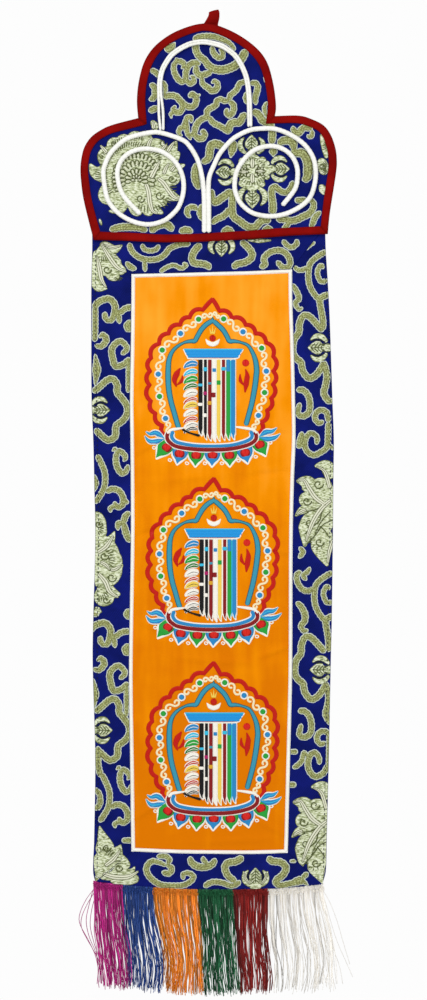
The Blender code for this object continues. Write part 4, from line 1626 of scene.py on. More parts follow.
def fan(
    x: float, y: float, near: float, far: float, first: float, last: float, count: int, lean: float
) -> tuple[Mark, ...]:
    """Short olive veins that spread from a middle.

    Args:
        x: the middle, in cells.
        y: the middle, in cells.
        near: where the veins start, in cells from the middle.
        far: where they end.
        first: direction of the first vein in degrees, 0 to the right and 90 down.
        last: direction of the last vein.
        count: number of veins.
        lean: how far each one bends to its right, in cells.

    Returns:
        The veins.
    """
    vein = ((near, 0.0), ((near + far) / 2.0, lean * 0.3), (far, lean))
    return tuple(
        Mark((0.5, 0.9, 0.5), placed(x, y, turn, vein), OLIVE_TINT, 3)
        for turn in np.linspace(first, last, count).tolist()
    )


def petal_row(
    x: float, y: float, reach: tuple[float, float], width: float, turns: tuple[float, float], count: int
) -> tuple[Mark, ...]:
    """A row of small pointed petals round a middle, each an olive line round a cream vein.

    Args:
        x: the middle, in cells.
        y: the middle, in cells.
        reach: cells from the middle to the petals' roots and to their tips.
        width: width of a petal.
        turns: directions of the first and the last petal, in degrees.
        count: number of petals.

    Returns:
        Lines and veins.
    """
    root, tip = reach
    mid = mixed(root, tip, 0.55)
    marks = []
    half = width / 2.0
    edge = ((root, -half * 0.6), (mid, -half), (tip, 0.0), (mid, half), (root, half * 0.6))
    vein = ((root + 1.0, 0.0), (mixed(root, tip, 0.8), 0.0))
    for turn in np.linspace(*turns, count).tolist():
        marks.append(Mark((0.8, 0.9, 0.8), placed(x, y, turn, edge), OLIVE_TINT, 4))
        marks.append(Mark((0.6, 1.5, 0.5), placed(x, y, turn, vein), CREAM_TINT, 4))
    return tuple(marks)


@dataclass(frozen=True)
class MarkLayer:
    """Marks of one kind on one sheet, raised on it as thin crowned ribbons.

    Its fields are the sheet, the height of a mark's edge over it in mm, how much higher the middle is, how
    much wider each side is in cells, as for an outline, and whether the edges are scalloped and the ends
    taper, as on the gold clouds. A skirt goes down into the cloth, and each level lies a little higher.
    """

    cloth: Cloth
    lift: float
    crown: float = 0.0
    wider: float = 0.0
    cloudy: bool = False
    skirt: float = 0.12
    level_rise: float = 0.09

    @property
    def grow(self) -> float:
        """How much wider each side is, in mm."""
        return self.wider * CELL

    @property
    def step(self) -> float:
        """Distance between places along a mark, in mm."""
        return 0.7 if self.cloudy else 0.9

    def columns(self, mark: Mark) -> Array:
        """Shares across a mark: a skirt at each edge, and enough between them for the cloth's own curve.

        Args:
            mark: the mark.

        Returns:
            Shares from -1 to 1.
        """
        widest = max(mark.widths) * CELL
        if self.crown <= 0.0 and widest < 3.0:
            return np.array((-1.0, -1.0, 1.0, 1.0))
        inner = 2 * max(int(widest / 5.0), 1) + 3
        return np.concatenate([[-1.0], np.linspace(-1.0, 1.0, inner), [1.0]])

    def ribbon(self, mark: Mark) -> tuple[Array, Array, Array]:
        """A mark's grid: the path, offset to both sides by half the width, with a round cap at each end.

        Args:
            mark: the mark.

        Returns:
            (steps, columns) x, z and distance along, in mm.
        """
        path = dense_path(chart_to_mm(mark.points), 12)
        reach = lengths_along(path)
        total = reach[-1]
        first = (path[1] - path[0]) / max(np.linalg.norm(path[1] - path[0]), 1e-6)
        final = (path[-1] - path[-2]) / max(np.linalg.norm(path[-1] - path[-2]), 1e-6)
        widths = np.asarray(mark.widths) * CELL / 2.0

        def half_at(s: Array) -> Array:
            """Half width at a distance along.

            Args:
                s: distances along the path.

            Returns:
                Half widths.
            """
            half = np.interp(s / total, np.linspace(0.0, 1.0, len(widths)), widths)
            if self.cloudy:
                to_end = np.minimum(s, total - s)
                scallop = 0.42 * (np.abs(np.sin(s * math.pi / 3.3)) - 0.45)
                half = half * (0.5 + 0.4 * np.minimum(to_end / 2.6, 1.0)) + scallop
            return half + self.grow

        caps = [0.2 if mark.flat_ends else float(half_at(end)) for end in (0.0, total)]
        spare = 0.0 if mark.flat_ends else max(widths.max() - total / 2.0, 0.0)
        begin = -self.grow - spare
        end = total + self.grow + spare
        caps = [min(cap, (end - begin) * 0.5) for cap in caps]
        quarter = 1.0 - np.cos(np.linspace(0.0, math.pi / 2.0, 5))
        count = max(int((end - begin - sum(caps)) / self.step), 1) + 1
        inner = np.linspace(begin + caps[0], end - caps[1], count)
        s = np.concatenate([begin + caps[0] * quarter[:-1], inner, end - caps[1] * quarter[-2::-1]])
        at = np.stack([np.interp(s, reach, path[:, k]) for k in range(2)], axis=1)
        at += np.minimum(s, 0.0)[:, None] * first + np.maximum(s - total, 0.0)[:, None] * final
        near = np.clip((s - begin) / max(caps[0], 1e-6), 0.0, 1.0)
        far = np.clip((end - s) / max(caps[1], 1e-6), 0.0, 1.0)
        close = np.ones_like(s)
        for share in (near, far):
            close = close * np.sqrt(np.clip(1.0 - (1.0 - share) ** 2, 0.0, 1.0))
        half = half_at(np.clip(s, 0.0, total)) * close
        side = side_steps(at)
        columns = self.columns(mark)
        x = at[:, :1] + side[:, :1] * half[:, None] * columns
        z = at[:, 1:] + side[:, 1:] * half[:, None] * columns
        return x, z, np.broadcast_to(s[:, None], x.shape)

    def build(self, marks: list[Mark], skin: Skin | None = None) -> Skin:
        """All the marks: pulled inside the sheet's edge, and laid on its front face.

        Args:
            marks: the marks.
            skin: what they are added to, if there is one.

        Returns:
            The skin.
        """
        skin = skin or Skin.empty()
        grids = [self.ribbon(mark) for mark in marks]
        sizes = [grid[0].size for grid in grids]
        x, z, along = (np.concatenate([grid[k].ravel() for grid in grids]) for k in range(3))
        kept = inside_ring(x, z, self.cloth.mark_ring)
        outside = np.flatnonzero(~kept)
        if outside.size:
            _, x[outside], z[outside] = ring_distance(x[outside], z[outside], self.cloth.mark_ring)
        front = self.cloth.front(x, z)
        starts = np.cumsum([0] + sizes)
        for mark, grid, first, last in zip(marks, grids, starts[:-1], starts[1:]):
            shape = grid[0].shape
            index = np.arange(shape[0] * shape[1]).reshape(shape)
            faces = grid_faces(index)
            faces = faces[kept[first:last][faces].any(axis=1)]
            if not len(faces):
                continue
            columns = self.columns(mark)
            raised = self.lift + self.crown * (1.0 - columns**2) + self.level_rise * mark.level
            raised[[0, -1]] = -self.skirt
            y = front[first:last] - np.broadcast_to(raised, shape).ravel()
            points = np.stack([x[first:last], y, z[first:last]], axis=1)
            share = np.broadcast_to(columns, shape).ravel()
            half = 0.5 * np.hypot(grid[0][:, -1] - grid[0][:, 0], grid[1][:, -1] - grid[1][:, 0])
            uv = np.stack([along[first:last], share * half.repeat(shape[1])], axis=1)
            skin.add(points, [facing_front(points, faces)], uv, linear(mark.tint)[:3], share)
        return skin


class GoldYarn(Finish):
    """Gold brocade weft: lines along the figure's edges, and blue ground that shows through."""

    def pattern(self, tree: Tree) -> tuple[Socket, Socket]:
        """Lines across the width, broken by speckle of about one thread.

        Args:
            tree: the material's node tree.

        Returns:
            The colour and the height of the relief.
        """
        where = self.uv(tree)
        across = add_node(tree, "ShaderNodeAttribute", attribute_name="across").outputs["Fac"]
        lines = self.math(tree, "COSINE", self.math(tree, "MULTIPLY", across, 8.0))
        floats = self.wave(tree, where, self.thread_mm, 0.3)
        speck = self.noise(tree, where, 1.2, 1.0)
        broad = self.noise(tree, where, 6.0, 2.0)
        share = self.math(tree, "MULTIPLY_ADD", lines, -0.04, 0.12)
        share = self.math(tree, "MULTIPLY_ADD", floats, 0.12, share)
        share = self.math(tree, "MULTIPLY_ADD", speck, 0.62, share)
        share = self.math(tree, "MULTIPLY_ADD", broad, 0.22, share)
        colour = self.ramp(tree, share, 0.36, 0.76).outputs["Color"]
        return self.tinted(tree, colour), share


class PaleYarn(GoldYarn):
    """Pale brocade weft of the flowers: short olive dashes show between the pale floats."""

    def pattern(self, tree: Tree) -> tuple[Socket, Socket]:
        """Dashes about 2.4 mm long in the sheet's own frame, under the fine floats.

        Args:
            tree: the material's node tree.

        Returns:
            The colour and the height of the relief.
        """
        where = add_node(tree, "ShaderNodeTexCoord").outputs["Object"]
        long_way = add_node(tree, "ShaderNodeMapping", {"Vector": where, "Scale": (0.45, 1.0, 1.3)})
        dashes = self.noise(tree, long_way.outputs[0], 1.25 * MM, 1.0)
        floats = self.wave(tree, self.uv(tree), self.thread_mm, 0.5)
        share = self.math(tree, "MULTIPLY_ADD", dashes, 1.25, -0.1)
        share = self.math(tree, "MULTIPLY_ADD", floats, 0.08, share)
        return self.tinted(tree, self.ramp(tree, share, 0.3, 0.72).outputs["Color"]), share


class StitchedRayon(Finish):
    """Machine satin stitch in rayon: the thread's own colour, crossed by close stitches that glint."""

    def pattern(self, tree: Tree) -> tuple[Socket, Socket]:
        """Stitches straight across the mark, broken by fine noise.

        Args:
            tree: the material's node tree.

        Returns:
            The colour and the height of the relief.
        """
        where = self.uv(tree)
        stitches = self.wave(tree, where, self.thread_mm, 0.35)
        speck = self.noise(tree, where, 0.7, 1.0)
        share = self.math(tree, "MULTIPLY_ADD", stitches, 0.5, self.math(tree, "MULTIPLY", speck, 0.5))
        return self.tinted(tree, self.ramp(tree, share, 0.15, 0.85).outputs["Color"]), stitches


# Brocade weft in dull gold and pale green rayon: a soft shine, broken up by the ground between floats.
GOLD_YARN = GoldYarn(
    "gold brocade weft", ("40382A", "6C6A42", "8E9456", "C8D09C"), 0.55, 0.0, 0.15, 0.9, 0.05
)
PALE_YARN = PaleYarn(
    "pale brocade weft", ("5C643C", "98A274", "C4CCA4", "E4EAD0"), 0.55, 0.0, 0.15, 0.9, 0.05
)
PLAIN_YARN = StitchedRayon("brocade line weft", ("D8D8D8", "FFFFFF"), 0.6, 0.0, 0.12, 0.9, 0.03)
# Rayon machine embroidery: close parallel stitches with a silky glint, each mark in its own colour.
EMBROIDERY = StitchedRayon("rayon satin stitch", ("CCCCCC", "F8F8F8", "FFFFFF"), 0.45, 0.0, 0.2, 0.8, 0.06)

OUTLINE_TINT = "DCE6D6"
OLIVE_TINT = "5C6438"
INK_TINT = "151C38"
CREAM_TINT = "EEF0D6"
LEAF_LINE_GAIN = 1.25
SPIRAL_GAIN = 1.15
SPIRAL_TURNS = 1.2


@dataclass(frozen=True)
class Flower:
    """A pale flower or spray: petals, double leaf lines and spirals."""

    petals: tuple[Mark, ...]
    leaf_lines: tuple[Mark, ...] = ()
    spirals: tuple[tuple[float, float, float], ...] = ()
    lines: tuple[Mark, ...] = ()
    moves: Places = ((0.0, 0.0),)


def bud(x: float, y: float, turn: float, size: float) -> tuple[list[Mark], list[Mark]]:
    """A bud between two open petals, pointing one way.

    Args:
        x: middle of its base, in cells.
        y: middle of its base, in cells.
        turn: where it points, in degrees, 0 to the right and 90 down.
        size: factor on its size.

    Returns:
        Pale marks and dark marks.
    """

    def shape(widths: tuple[float, ...], local: Places, tint: str = "FFFFFF", level: int = 0) -> Mark:
        """A mark given along the bud and to its right."""
        return Mark(widths, placed(x, y, turn, local, size), tint, level)

    heart = (5.0 * size, 12.0 * size, 12.5 * size, 8.0 * size, 1.0)
    pale = [
        shape(heart, ((1, 0), (5, 0), (10, 0), (16, 0))),
        shape((8.0 * size, 7.0 * size), ((-5, 0), (0, 0))),
    ]
    dark = []
    for way in (1, -1):
        petal = ((-2, 5.5 * way), (3.5, 10.4 * way), (9, 10.8 * way), (13.5, 7.4 * way))
        pale.append(shape((3.0, 5.4 * size, 4.4 * size, 1.0), petal))
        shadow = ((0, 5.4 * way), (6.5, 7.9 * way), (13.0, 6.0 * way))
        dark.append(shape((0.8, 2.0, 0.6), shadow, INK_TINT, 2))
    for at in (2.5, 5.5, 8.5, 11.5):
        chevron = ((at - 2.0, -4.2), (at + 1.2, 0), (at - 2.0, 4.2))
        dark.append(shape((0.8, 0.8, 0.8), chevron, OLIVE_TINT, 3))
    dark.append(shape((0.7, 0.7), ((1.0, 0.0), (14.0, 0.0)), OLIVE_TINT, 3))
    return pale, dark


# Figures of the left strip, noted on the chart. The loom repeats them about 322 cells further down.
LEFT_REPEAT = (
    Group(chart("""
        6.5 6.5 6.5 5.5: 94,308 97,303 103,299.5 110,299 115,306 113,317 109,322;
        5 5.5: 109,322 105,317 105,312;
        5.5 6: 116,311 120,312 125,308.5 130.5,307 135,308;
        3.5 5.5 4: 117.5,311 118.5,317 119.5,323
    """), ((0, 0), (-4.5, 324.5))),
    Group(chart("""
        4.5 6 6: 122.5,263 126,261 129,266 135,267.5;
        5 6.5 5: 129.5,609.5 126.8,614 129.5,619
    """)),
    Group(chart("5.5 5.5 5.5: 95,306 95,325 94.5,341")),
    Group(chart("""
        4 6 6.5 3: 95,345 101,346 106,340 103,334.5 99,337;
        6 8.5 7: 131.5,320.5 127.8,326 131,331
    """), ((0, 0), (-2, 324))),
    Group(chart("""
        4.5 6 6.5 6: 121.5,354 127,348 120,341 112,348 113,360 116,366 124,364 130,358;
        4 5 4: 128,358 128.5,375 128,392;
        1.5 9 1.5: 95,354 96.5,369 95,385
    """), ((0, 0), (-2, 325))),
    Group(chart("""
        6.5 6.5 6.5: 93,392 100,386 107,380 113,379 117,385 117,392 121,397 126,404 127.5,410 126,416
            122,421 116,426 115,436 108,440 101,435 95,429
    """), ((0, 0), (2, 320.5))),
    Group(chart("""
        5.5 5.5 5.5: 97,455 101,463 104.5,472 105,481 103.5,489 99,497 95,503;
        1.5 6.5 1.5: 94.5,475 95.5,483 94.5,491
    """), ((0, 0), (4.5, 319))),
    Group(chart("""
        3 5: 112.6,450.5 116,448;
        4.5 5.5 5 3: 117,449.5 122,452.5 125.4,457 123.4,461;
        5 6 6 4: 118,450 115.8,458 117.2,467 121.5,473 126,471 128,465
    """), ((0, 0), (4, 319))),
    Group(chart("""
        5.5 6 6 5: 106,492 112,489 119,491 123,498 122,505 117,507 114,502;
        4.5 4.5: 115,506 110.5,508 110.5,512;
        5 6: 123,500 128,503
    """), ((0, 0), (4.5, 316))),
    Group(chart("""
        5 6.5 5.5: 129.5,512 125,517 123.5,524;
        5 6.5 3: 124.5,523 118.5,524 117.8,530;
        5.5 7 5: 123.5,523 126,533 129.5,542
    """), ((0, 0),)),
    Group(chart("""
        6 6: 98,747 98,765 101,777;
        5 5: 94,789 99,794 100,803 95,810;
        10: 127,841;
        10: 93.5,614;
        5 5: 91.5,877 97.5,881 104,884
    """)),
)
LEFT_SPRAY = Flower(
    chart("""
        8 16 18 16: 95.5,512 97.5,521 97.5,532 98,541;
        16 17 9 0.8: 98,553 106,546 111.5,538 114.4,531.5;
        24 34 36 30: 95,536 101,552 104,568 101,588;
        18 22 18: 108,550 111,560 111,574;
        16 13 2: 108,572 115.5,569.5 122.5,564.5;
        18 18 14: 104,574 112,576.5 116.5,577.5;
        22 18 2: 100,584 108,592 120,594.5;
        20 20 13: 98,592 105,597.5 111,600;
        2 8 1: 94,611 97,611.5 101,612
    """),
    chart("""
        2.4 3.2 1: 97.7,552.4 106,546.5 113,536;
        2.4 3.4 3 1: 98.2,573.7 105.1,581.6 109.6,591.5 118,597.5;
        2 2.6 0.8: 100.5,562 106,565 109.5,570;
        2 2.6 0.8: 110.5,570 115.5,569 121,565.5
    """, level=4),
    ((111.5, 577.5, 4.4), (98.5, 524, 3.6), (104, 556, 4.0), (106, 600, 3.4)),
    (
        *fan(97, 560, 12.0, 18.0, -60.0, 20.0, 9, 1.0),
        *fan(97, 586, 10.0, 16.0, 10.0, 80.0, 8, 1.0),
        *fan(96, 528, 4.0, 8.0, -60.0, 60.0, 7, 0.6),
    ),
)
CORNER_SPRAY = Flower(
    chart("""
        8 20 27 16: 100,246 104.5,256 109.5,268 113,275;
        8 10 8 1: 100.5,243 108,247.5 115,249 122,244.8;
        12 13 6: 111,262 119,269 125.5,270;
        14 13 10: 108,270 114,275 118,277.5;
        7 9 13 12 1: 97,250 96,268 97,281 99,287 106.8,288.3
    """),
    chart("""
        1 3 3.2 1.4: 101,243 108,255 117,267 126,271.5;
        1 3 3 1: 97,256 99.5,269 101.5,279 106,287;
        1 2.4 1: 104,244.5 112,247 120.5,245.2
    """, level=4),
    ((107, 269, 4.0),),
    (*fan(100, 248, 8.0, 14.0, 40.0, 80.0, 5, 1.0), *fan(118, 276, 2.0, 5.0, 20.0, 150.0, 6, 0.6)),
)
LEFT_LEAVES = Flower(chart("3 5 2: 95,607.8 98,610 100.5,611.8"))
FOOT_SPRAY = Flower(
    chart("""
        0.8 9 18 20: 99.5,826.5 101,833 104,844 106,857;
        18 18 13 0.8: 104,862 112,858 117,852.5 120.6,845.5;
        32 34 26: 102,857 110,866 117,872;
        18 16 9: 115,862 122,864 127,866;
        14 12 7 0.8: 118,872 127,874 132,871.5 134.5,867.5;
        10 13 11 8: 110,879 126,880 134,879.5 138.5,879
    """),
    chart("""
        2.4 3.2 1: 105,866 113,860 120,851;
        2.4 3.4 3.2 1: 103,874 114,877.5 128,877.5 138,872
    """, level=4),
    ((106.5, 848, 4.0), (118.5, 868.5, 3.6)),
    (*fan(100, 870, 16.0, 22.0, -70.0, -10.0, 8, 1.0), *fan(104, 860, 8.0, 13.0, -110.0, -40.0, 7, 1.0)),
)
LEFT_BUDS = ((93.5, 410, 0.0, 1.0), (96, 730.5, 0.0, 1.0))

RIGHT_REPEAT = (
    Group(chart("""
        5.5 5.5 5.5 5.5: 327,251 321,254 314,259 310,264 308.5,272 309,282 312,290 317,297 321,300;
        5 4.5 4: 308,267 303,269.5 298,269.5 294,266;
        4.5 4.5 4.5: 323.5,268 321,265 317.5,272 321,281 328,280;
        6.5 6 6.5: 330,294 324,296 320,300 322,314 323,322 322.5,330
    """), ((0, 0), (6, 321.5))),
    Group(chart("""
        4.5 5.5 5.5 4.5 3.5: 292,284 296,290 299,298 295.5,303 299,309 302.5,307.5;
        5 6 6.5 6 5 4: 296.5,602.5 301,606.5 305,614.5 304.5,621.5 301,626 304,631 308,630
    """)),
    Group(chart("""
        6.5 6.5 6.5: 323,331 317,324 309,316 303,316 299.5,324 299,332 294,340 293,352 297,359 301,362
            303,371 309,378 316,375 322,367 324,364 327,376 325.5,386 324,393 328,400 333,401
    """), ((0, 0), (2, 321.5))),
    Group(chart("""
        6 6 6 4.5: 297,390 303,390 308,395 310,403 309,412 303,416 298,413 300,403
    """), ((0, 0), (1.5, 321.5))),
    Group(chart("""
        4.5 5.5 5.5 5.5: 323.5,421 319,423 315,418 317,412 322,410 327,413 328.5,422
    """), ((0, 0), (2, 321.5))),
    Group(chart("""
        5.5 5.5 5.5 4.5: 328.5,422 328,438 327,447 321,452 314,455 308,452 305,446 306,438 311,433 317,437
            316.5,444;
        4.5 4: 329,445 334,449;
        4 4.5: 297,447 302,445 305,443;
        5 7 5: 302,432 301,439 298,446;
        4.5 5 4: 299.5,547.5 303,552 299,558;
        3.5 4.5 5.5: 310,567.5 307.5,572 303,574.5;
        5 5.5 5.5 5: 314,588 309,591 302,589 297.5,582 297,575 301,571.5;
        5 5 4: 302.5,573 304,577 306.5,580;
        4 3.5 3: 305.5,249 309,245.5 315,242;
        4.5 4.5 4: 328.5,737 329,752 328,768;
        9: 293,752;
        3.5 5 5: 308,757 304,753 302,761 297,766 293,768;
        5.5 6 6 4.5: 328,765 324,773 316,777 310,772 308,764 310,756 315,753 319,758 319.5,764.5;
        10: 291,785
    """)),
)
RIGHT_SPRAY = Flower(
    chart("""
        14 13 2: 333,478 326,466 315,466;
        24 30 28 26: 323,478 321,494 323,512 326,532;
        20 15 2: 314,489 305,482 296.8,481;
        17 17 11: 317,500 307,500 300.5,504;
        10 7 1.2: 308,508 301,511 295.5,516;
        19 18 2: 315,514 308,528 304.7,546.6;
        22 19 2: 326,528 321,546 327.5,566;
        12 12 8: 318,532 317,541 319,549
    """),
    chart("""
        1 3 3.4 2.4: 297.5,481.2 304,480 309.6,489 316,498 327,506;
        2.4 3.4 3 1: 331,500 322,508 313,522 306,541;
        1 2.8 2.4: 317,466.5 325,472 330,488;
        2 2.8 1: 333,540 329.5,552 328,563;
        2 2.4 0.8: 306,509.5 301,511.6 297,514.6
    """, level=4),
    ((318.4, 484, 4.6), (307, 501, 4.2), (309.3, 522.7, 3.8), (319.5, 542, 4.2)),
    (
        *chart("""
            0.8 0.9 0.7: 330,512 321,522 315,534;
            0.8 0.9 0.7: 333,520 324,524 318,531;
            0.9 1.2 0.9: 327.5,502.5 322,512 319.5,520.6 311,528 304.8,534;
            0.9 1.1 0.7: 320.5,526 325,531 329,537;
            0.9 1.1 0.7: 324,503.5 317,509 308,511 299,510.5;
            0.9 1.1 0.7: 321.8,526.3 316,534.2 310,541 304.8,545.6
        """, OLIVE_TINT, 4),
        *fan(318, 541, 6.0, 9.0, 60.0, 200.0, 5, 0.6),
    ),
    ((0.0, 0.0), (-3.5, 321.5)),
)
RIGHT_BUDS = ((325, 347.5, 180.0, 1.05), (327, 670, 180.0, 1.05))

TOP_MARKS = chart("""
    5.5 5.5 5.5 5.5: 129,243 132,251 139,257 148,259.5 158,258.5 165,254 170,248 180,244 190,243.5;
    4 4: 144.5,259 145,271;
    4.5 4.5 4.5: 142,244 144,248.5 150,250.5 156,249 159,245;
    4 6 4.5: 126,262 131,267 136,268.5;
    4 4 4: 160,271.5 167,267 174,265 181,268 186,265 183,263;
    7 7 6.5: 201,244 195,250 192,257 194,262.5 201,263.5 207,265 210,269;
    6.5 7 6.5: 241,241 248,247 252,253 251,258 245,262 237,264 233,268;
    5 5 5: 283,240 287,245 292,247 297,243 296,239.5;
    6 6 6 5: 260,267 265,264 264,258 270,252 279,250 286,253 290,260 289,266 283,267 277,261
""")
TOP_LEAVES = Flower(chart("1 4 1: 248,240 258,240.5 271,240"))
TOP_BUDS = ((221.5, 240, 90.0, 1.0),)

BOTTOM_MARKS = chart("""
    3.5 5.5 6 6 5.5 5.5 5 4: 166,866 160.3,863.2 152,861.8 146.6,867.5 147.6,874.5 153.3,881 161,885.2
        171,886 183,885.4 191,881.2 193.3,876.5 188.5,873.2 183.2,874.5 183.4,879.5;
    3.5 6 6 5: 166,864.5 171.5,868.5 169,873.5 162,872.5;
    4.5 5.5 5: 157,857 165,856.5 169.5,860 167,864;
    5.5 7 7 7 5.5: 190,857 191.5,862.5 197,866.5 205,867.3 212,864.5 215.5,859;
    4.5 5 4: 203,857 204,861 208,863.5;
    5.5 5.5 5: 204,887 212,882.5 222,883 231,886 237,884 240,881;
    7 7 6.5: 243,857 236,861.5 228,863 225,868 228,876 236,882;
    7 7 5: 268,857 272,861 281,862.5 286,868 283,875 276,881 280,885.5 290,884 305,882;
    5.6: 293,861.5;
    4.5 5.5: 302,879 308,873.5;
    2 6 2: 290,883 300,880 308,886
""")
BOTTOM_LEAVES = Flower(chart("""
    5 4.5 1: 251,885 245.5,879 243.5,871.5;
    5 4.5 1: 260,885 265.5,879 267.5,871.5;
    9 9: 249.5,885.5 261.5,885.5
"""), chart("""
    1 1.8 0.6: 250,884 246,879 244.5,873;
    1 1.8 0.6: 261,884 265,879 266.5,873
""", level=4))
BOTTOM_BUDS = ((255.5, 884, 270.0, 1.0),)

HEAD_MARKS = chart("""
    6 7.5 7.5 6: 110,230 119.5,227.5 129,227 138,227.5 147,230.5;
    7 8 8 7: 150.5,232 156,226.5 164,224 169.5,226.5 172.5,231;
    6 7 6: 179.5,232 186,230 192.5,232;
    3 5.5 5.5 5: 190.5,217.5 187.3,214 188,209 193.2,207 197.5,210;
    4 6 4: 202.3,204.5 199.8,212 202.3,220.5;
    5.5 6 5.5 3.5: 193.5,40 198,37.5 205,36.5 214,37 224,40.5 230,44 235,50;
    6.5 7 7: 196,42 196,50 199,56 204,60 208,63.5;
    7 8.5 8.5 8: 205,61 209,66 214,69 222,70.2 230,68.2 237,64.2 242,58 246,50;
    4.5 6 5.5 3.5: 212,46.5 213.5,53 218,57.5 222,57 222.5,52.5 219.5,49.5;
    3.5 5.5 5.5 3: 175.6,58.5 178,61 182.5,62.5 184,66.1 181.7,68.6;
    4.5 6 6 6: 177.5,60.5 174,65.6 174.4,72.2 177.8,78.9 181.7,81.7 185.6,79.4 186.1,72.2 189,65.6
        194.4,63 200,64.5;
    5 6 5.5 3: 185.6,80 190,83.4 193.5,81.5 193,77.5 190.4,76.4;
    5.5 6.5 6.5 5: 196.7,65.6 196.3,71.5 200,75.6 205.6,74.4 212,71.5;
    4 6 6.5 3.5: 201.7,77.5 202.8,84 207.8,87.8 212.2,91 216.5,89 217.5,84.6 215,81.5 211.7,83;
    6 6.5 6 6: 163.5,97.2 170,95.6 176.1,96.7 180,100.6 184.4,105 190,107.2 194.4,105.6 196.3,100.6
        195.6,97 192.2,94.6 189,97.2;
    5 2: 195.5,98.5 199.8,94.6;
    5 6 6 3: 182.4,103 182.2,109 179,112.6 175,111.5 173.4,108.9 175.8,106.2;
    5 4 2: 175.5,111.5 171.2,113.9 171.4,118;
    5.5 5.5: 150.6,70 155.6,72.4 158.9,76.7;
    5.5 6.5 5.5: 150,84.4 154.2,87 155.2,92.2 154.2,97.4 149.4,100;
    6.5 6.5: 148.9,111.1 153.3,109.6 158,107.2;
    3 4.5 4 3: 162.4,81.1 164.8,85 165.4,90 164.4,95;
    9 9 2: 165,50 171,47.5 175,43;
    5 5.5 5 3: 183,127 185.6,122.2 187.6,117.6 191,118 191.2,122.8;
    5 5.5 5 2: 186.2,121.5 186.5,127 187,131 188.4,135.4 190.8,139.6;
    5 5 4.5 2.5: 185.8,128.5 181.8,127.7 178.9,130.8 179.6,134.6 182,135.6;
    5 6.5 6 6: 190,136 194.1,133.4 195.5,128 197.5,123.3 201.6,119.6 207,117.3 210,117;
    5 7 6 3.5: 194.3,134.8 198.6,138.4 203,137.9 204.6,134.2 203,131.6 200.5,132.8;
    5.5 6 5.5 5.5: 207,117.5 207.4,110.8 211.7,107.8 215.8,105.2 216.8,101.5 220.2,99.6 224.4,101
        229,101.2;
    5.5 5.5 5.5 5: 229,101 230.2,95.8 234.4,92.2 237.4,88.7 239.2,84.4 243.3,82.4 247,83;
    5.5 6 6 3: 229,101.7 233,104.6 233.5,110 230.9,114.9 227.9,114.9 226,111.3 228.4,109.4;
    5.5 6 6 6: 208.8,117 213.3,123 220,126.4 226,130.2 230,133;
    5 6 6 4.5: 250,83.4 255.4,83.4 257.6,87 256.8,92.2 255.2,98 255.8,104.6;
    3.5 5 3.5: 246.9,92.2 245.6,98 246.9,104;
    2.5 4.5 2.5: 266.9,102.2 264.6,107 264.9,112.2 266.6,117;
    1.5 2.5 1.5: 264.8,75.6 265.2,79.5 266.4,83;
    7 8 7.5 6.5: 229.5,133 229.2,127 232.6,123 239.5,122.3 242.4,117.5 246,113.5;
    7 8 7: 252,112.3 256.5,113 260,116.4 262.6,120.6 267.8,123 274,125.4;
    8 9 2: 233.8,141 232.4,149 230.6,157.5;
    7.5 7.5 7.5: 272.3,125.5 272.3,133 271.8,144;
    7.5 8.5 2: 272.6,148 273.2,151.8 273.2,156.4;
    6 8 8.5 7.5: 201.8,162.5 206.2,160.5 209,157.4 209.8,151.6 211,146 215.4,144 220.5,145.6 224.6,149;
    6 8 8 5: 197.8,163.5 195.6,169 195.2,177 197,184.4 199.5,189;
    5 8 8 7: 211.8,189.7 212,199 216,201.8 220.5,198.9 226,195 231.5,190.4;
    6.5 7.5 7.5 8: 231.6,190 232.3,196 232.3,212.5 235,218 240,221.4 244.6,225 250,227.6 255.9,226.6
        259.8,222.4 264,220 270.5,220.7;
    5.5 6.5 6: 211.5,223.5 216.8,219.2 222.3,216.8 227,212.8 230,208;
    4 9 4: 221.5,232 227.7,230.5 234,232;
    4 9 4: 262,231 267.7,229.5 273.5,231;
    8 7 6 5.5: 272.4,214 272.7,204.4 271.6,196 272,189.4 274.8,187 278.8,189.8 283.4,192.4 287.7,191.4
        291.2,187.1 293,181.2;
    6 8.5 9 6: 277.7,143.9 284,140.6 290.6,141 293.4,145 292.8,150;
    6.5 9 10 10 7: 292,149 296.4,152.8 301.8,153 305.6,156.8 308,163 308.2,170.7 307,177.5 302.6,180.2;
    5 7 6.5 6: 292.8,126.6 294.4,131.6 299.4,132.6 302,128.8 306,127.6 312,129;
    3 4.5 4.5 3: 312,130 312,135 309.5,137 307.5,135;
    11.5 11.5: 300.6,200.3 301.2,200.3;
    5 7 7 6: 309.7,199.2 313.4,203 312.8,208.9 309,213.8 303,216.6 297.5,219.4 291.4,220.8 284,219.6
        276.5,219.4;
    4.5 5.5 4: 289.5,222 286.9,225.6 282.5,228.4;
    4 6 6 4: 320.5,211.6 315.2,217 312.6,223.5 310.4,227.4
""")
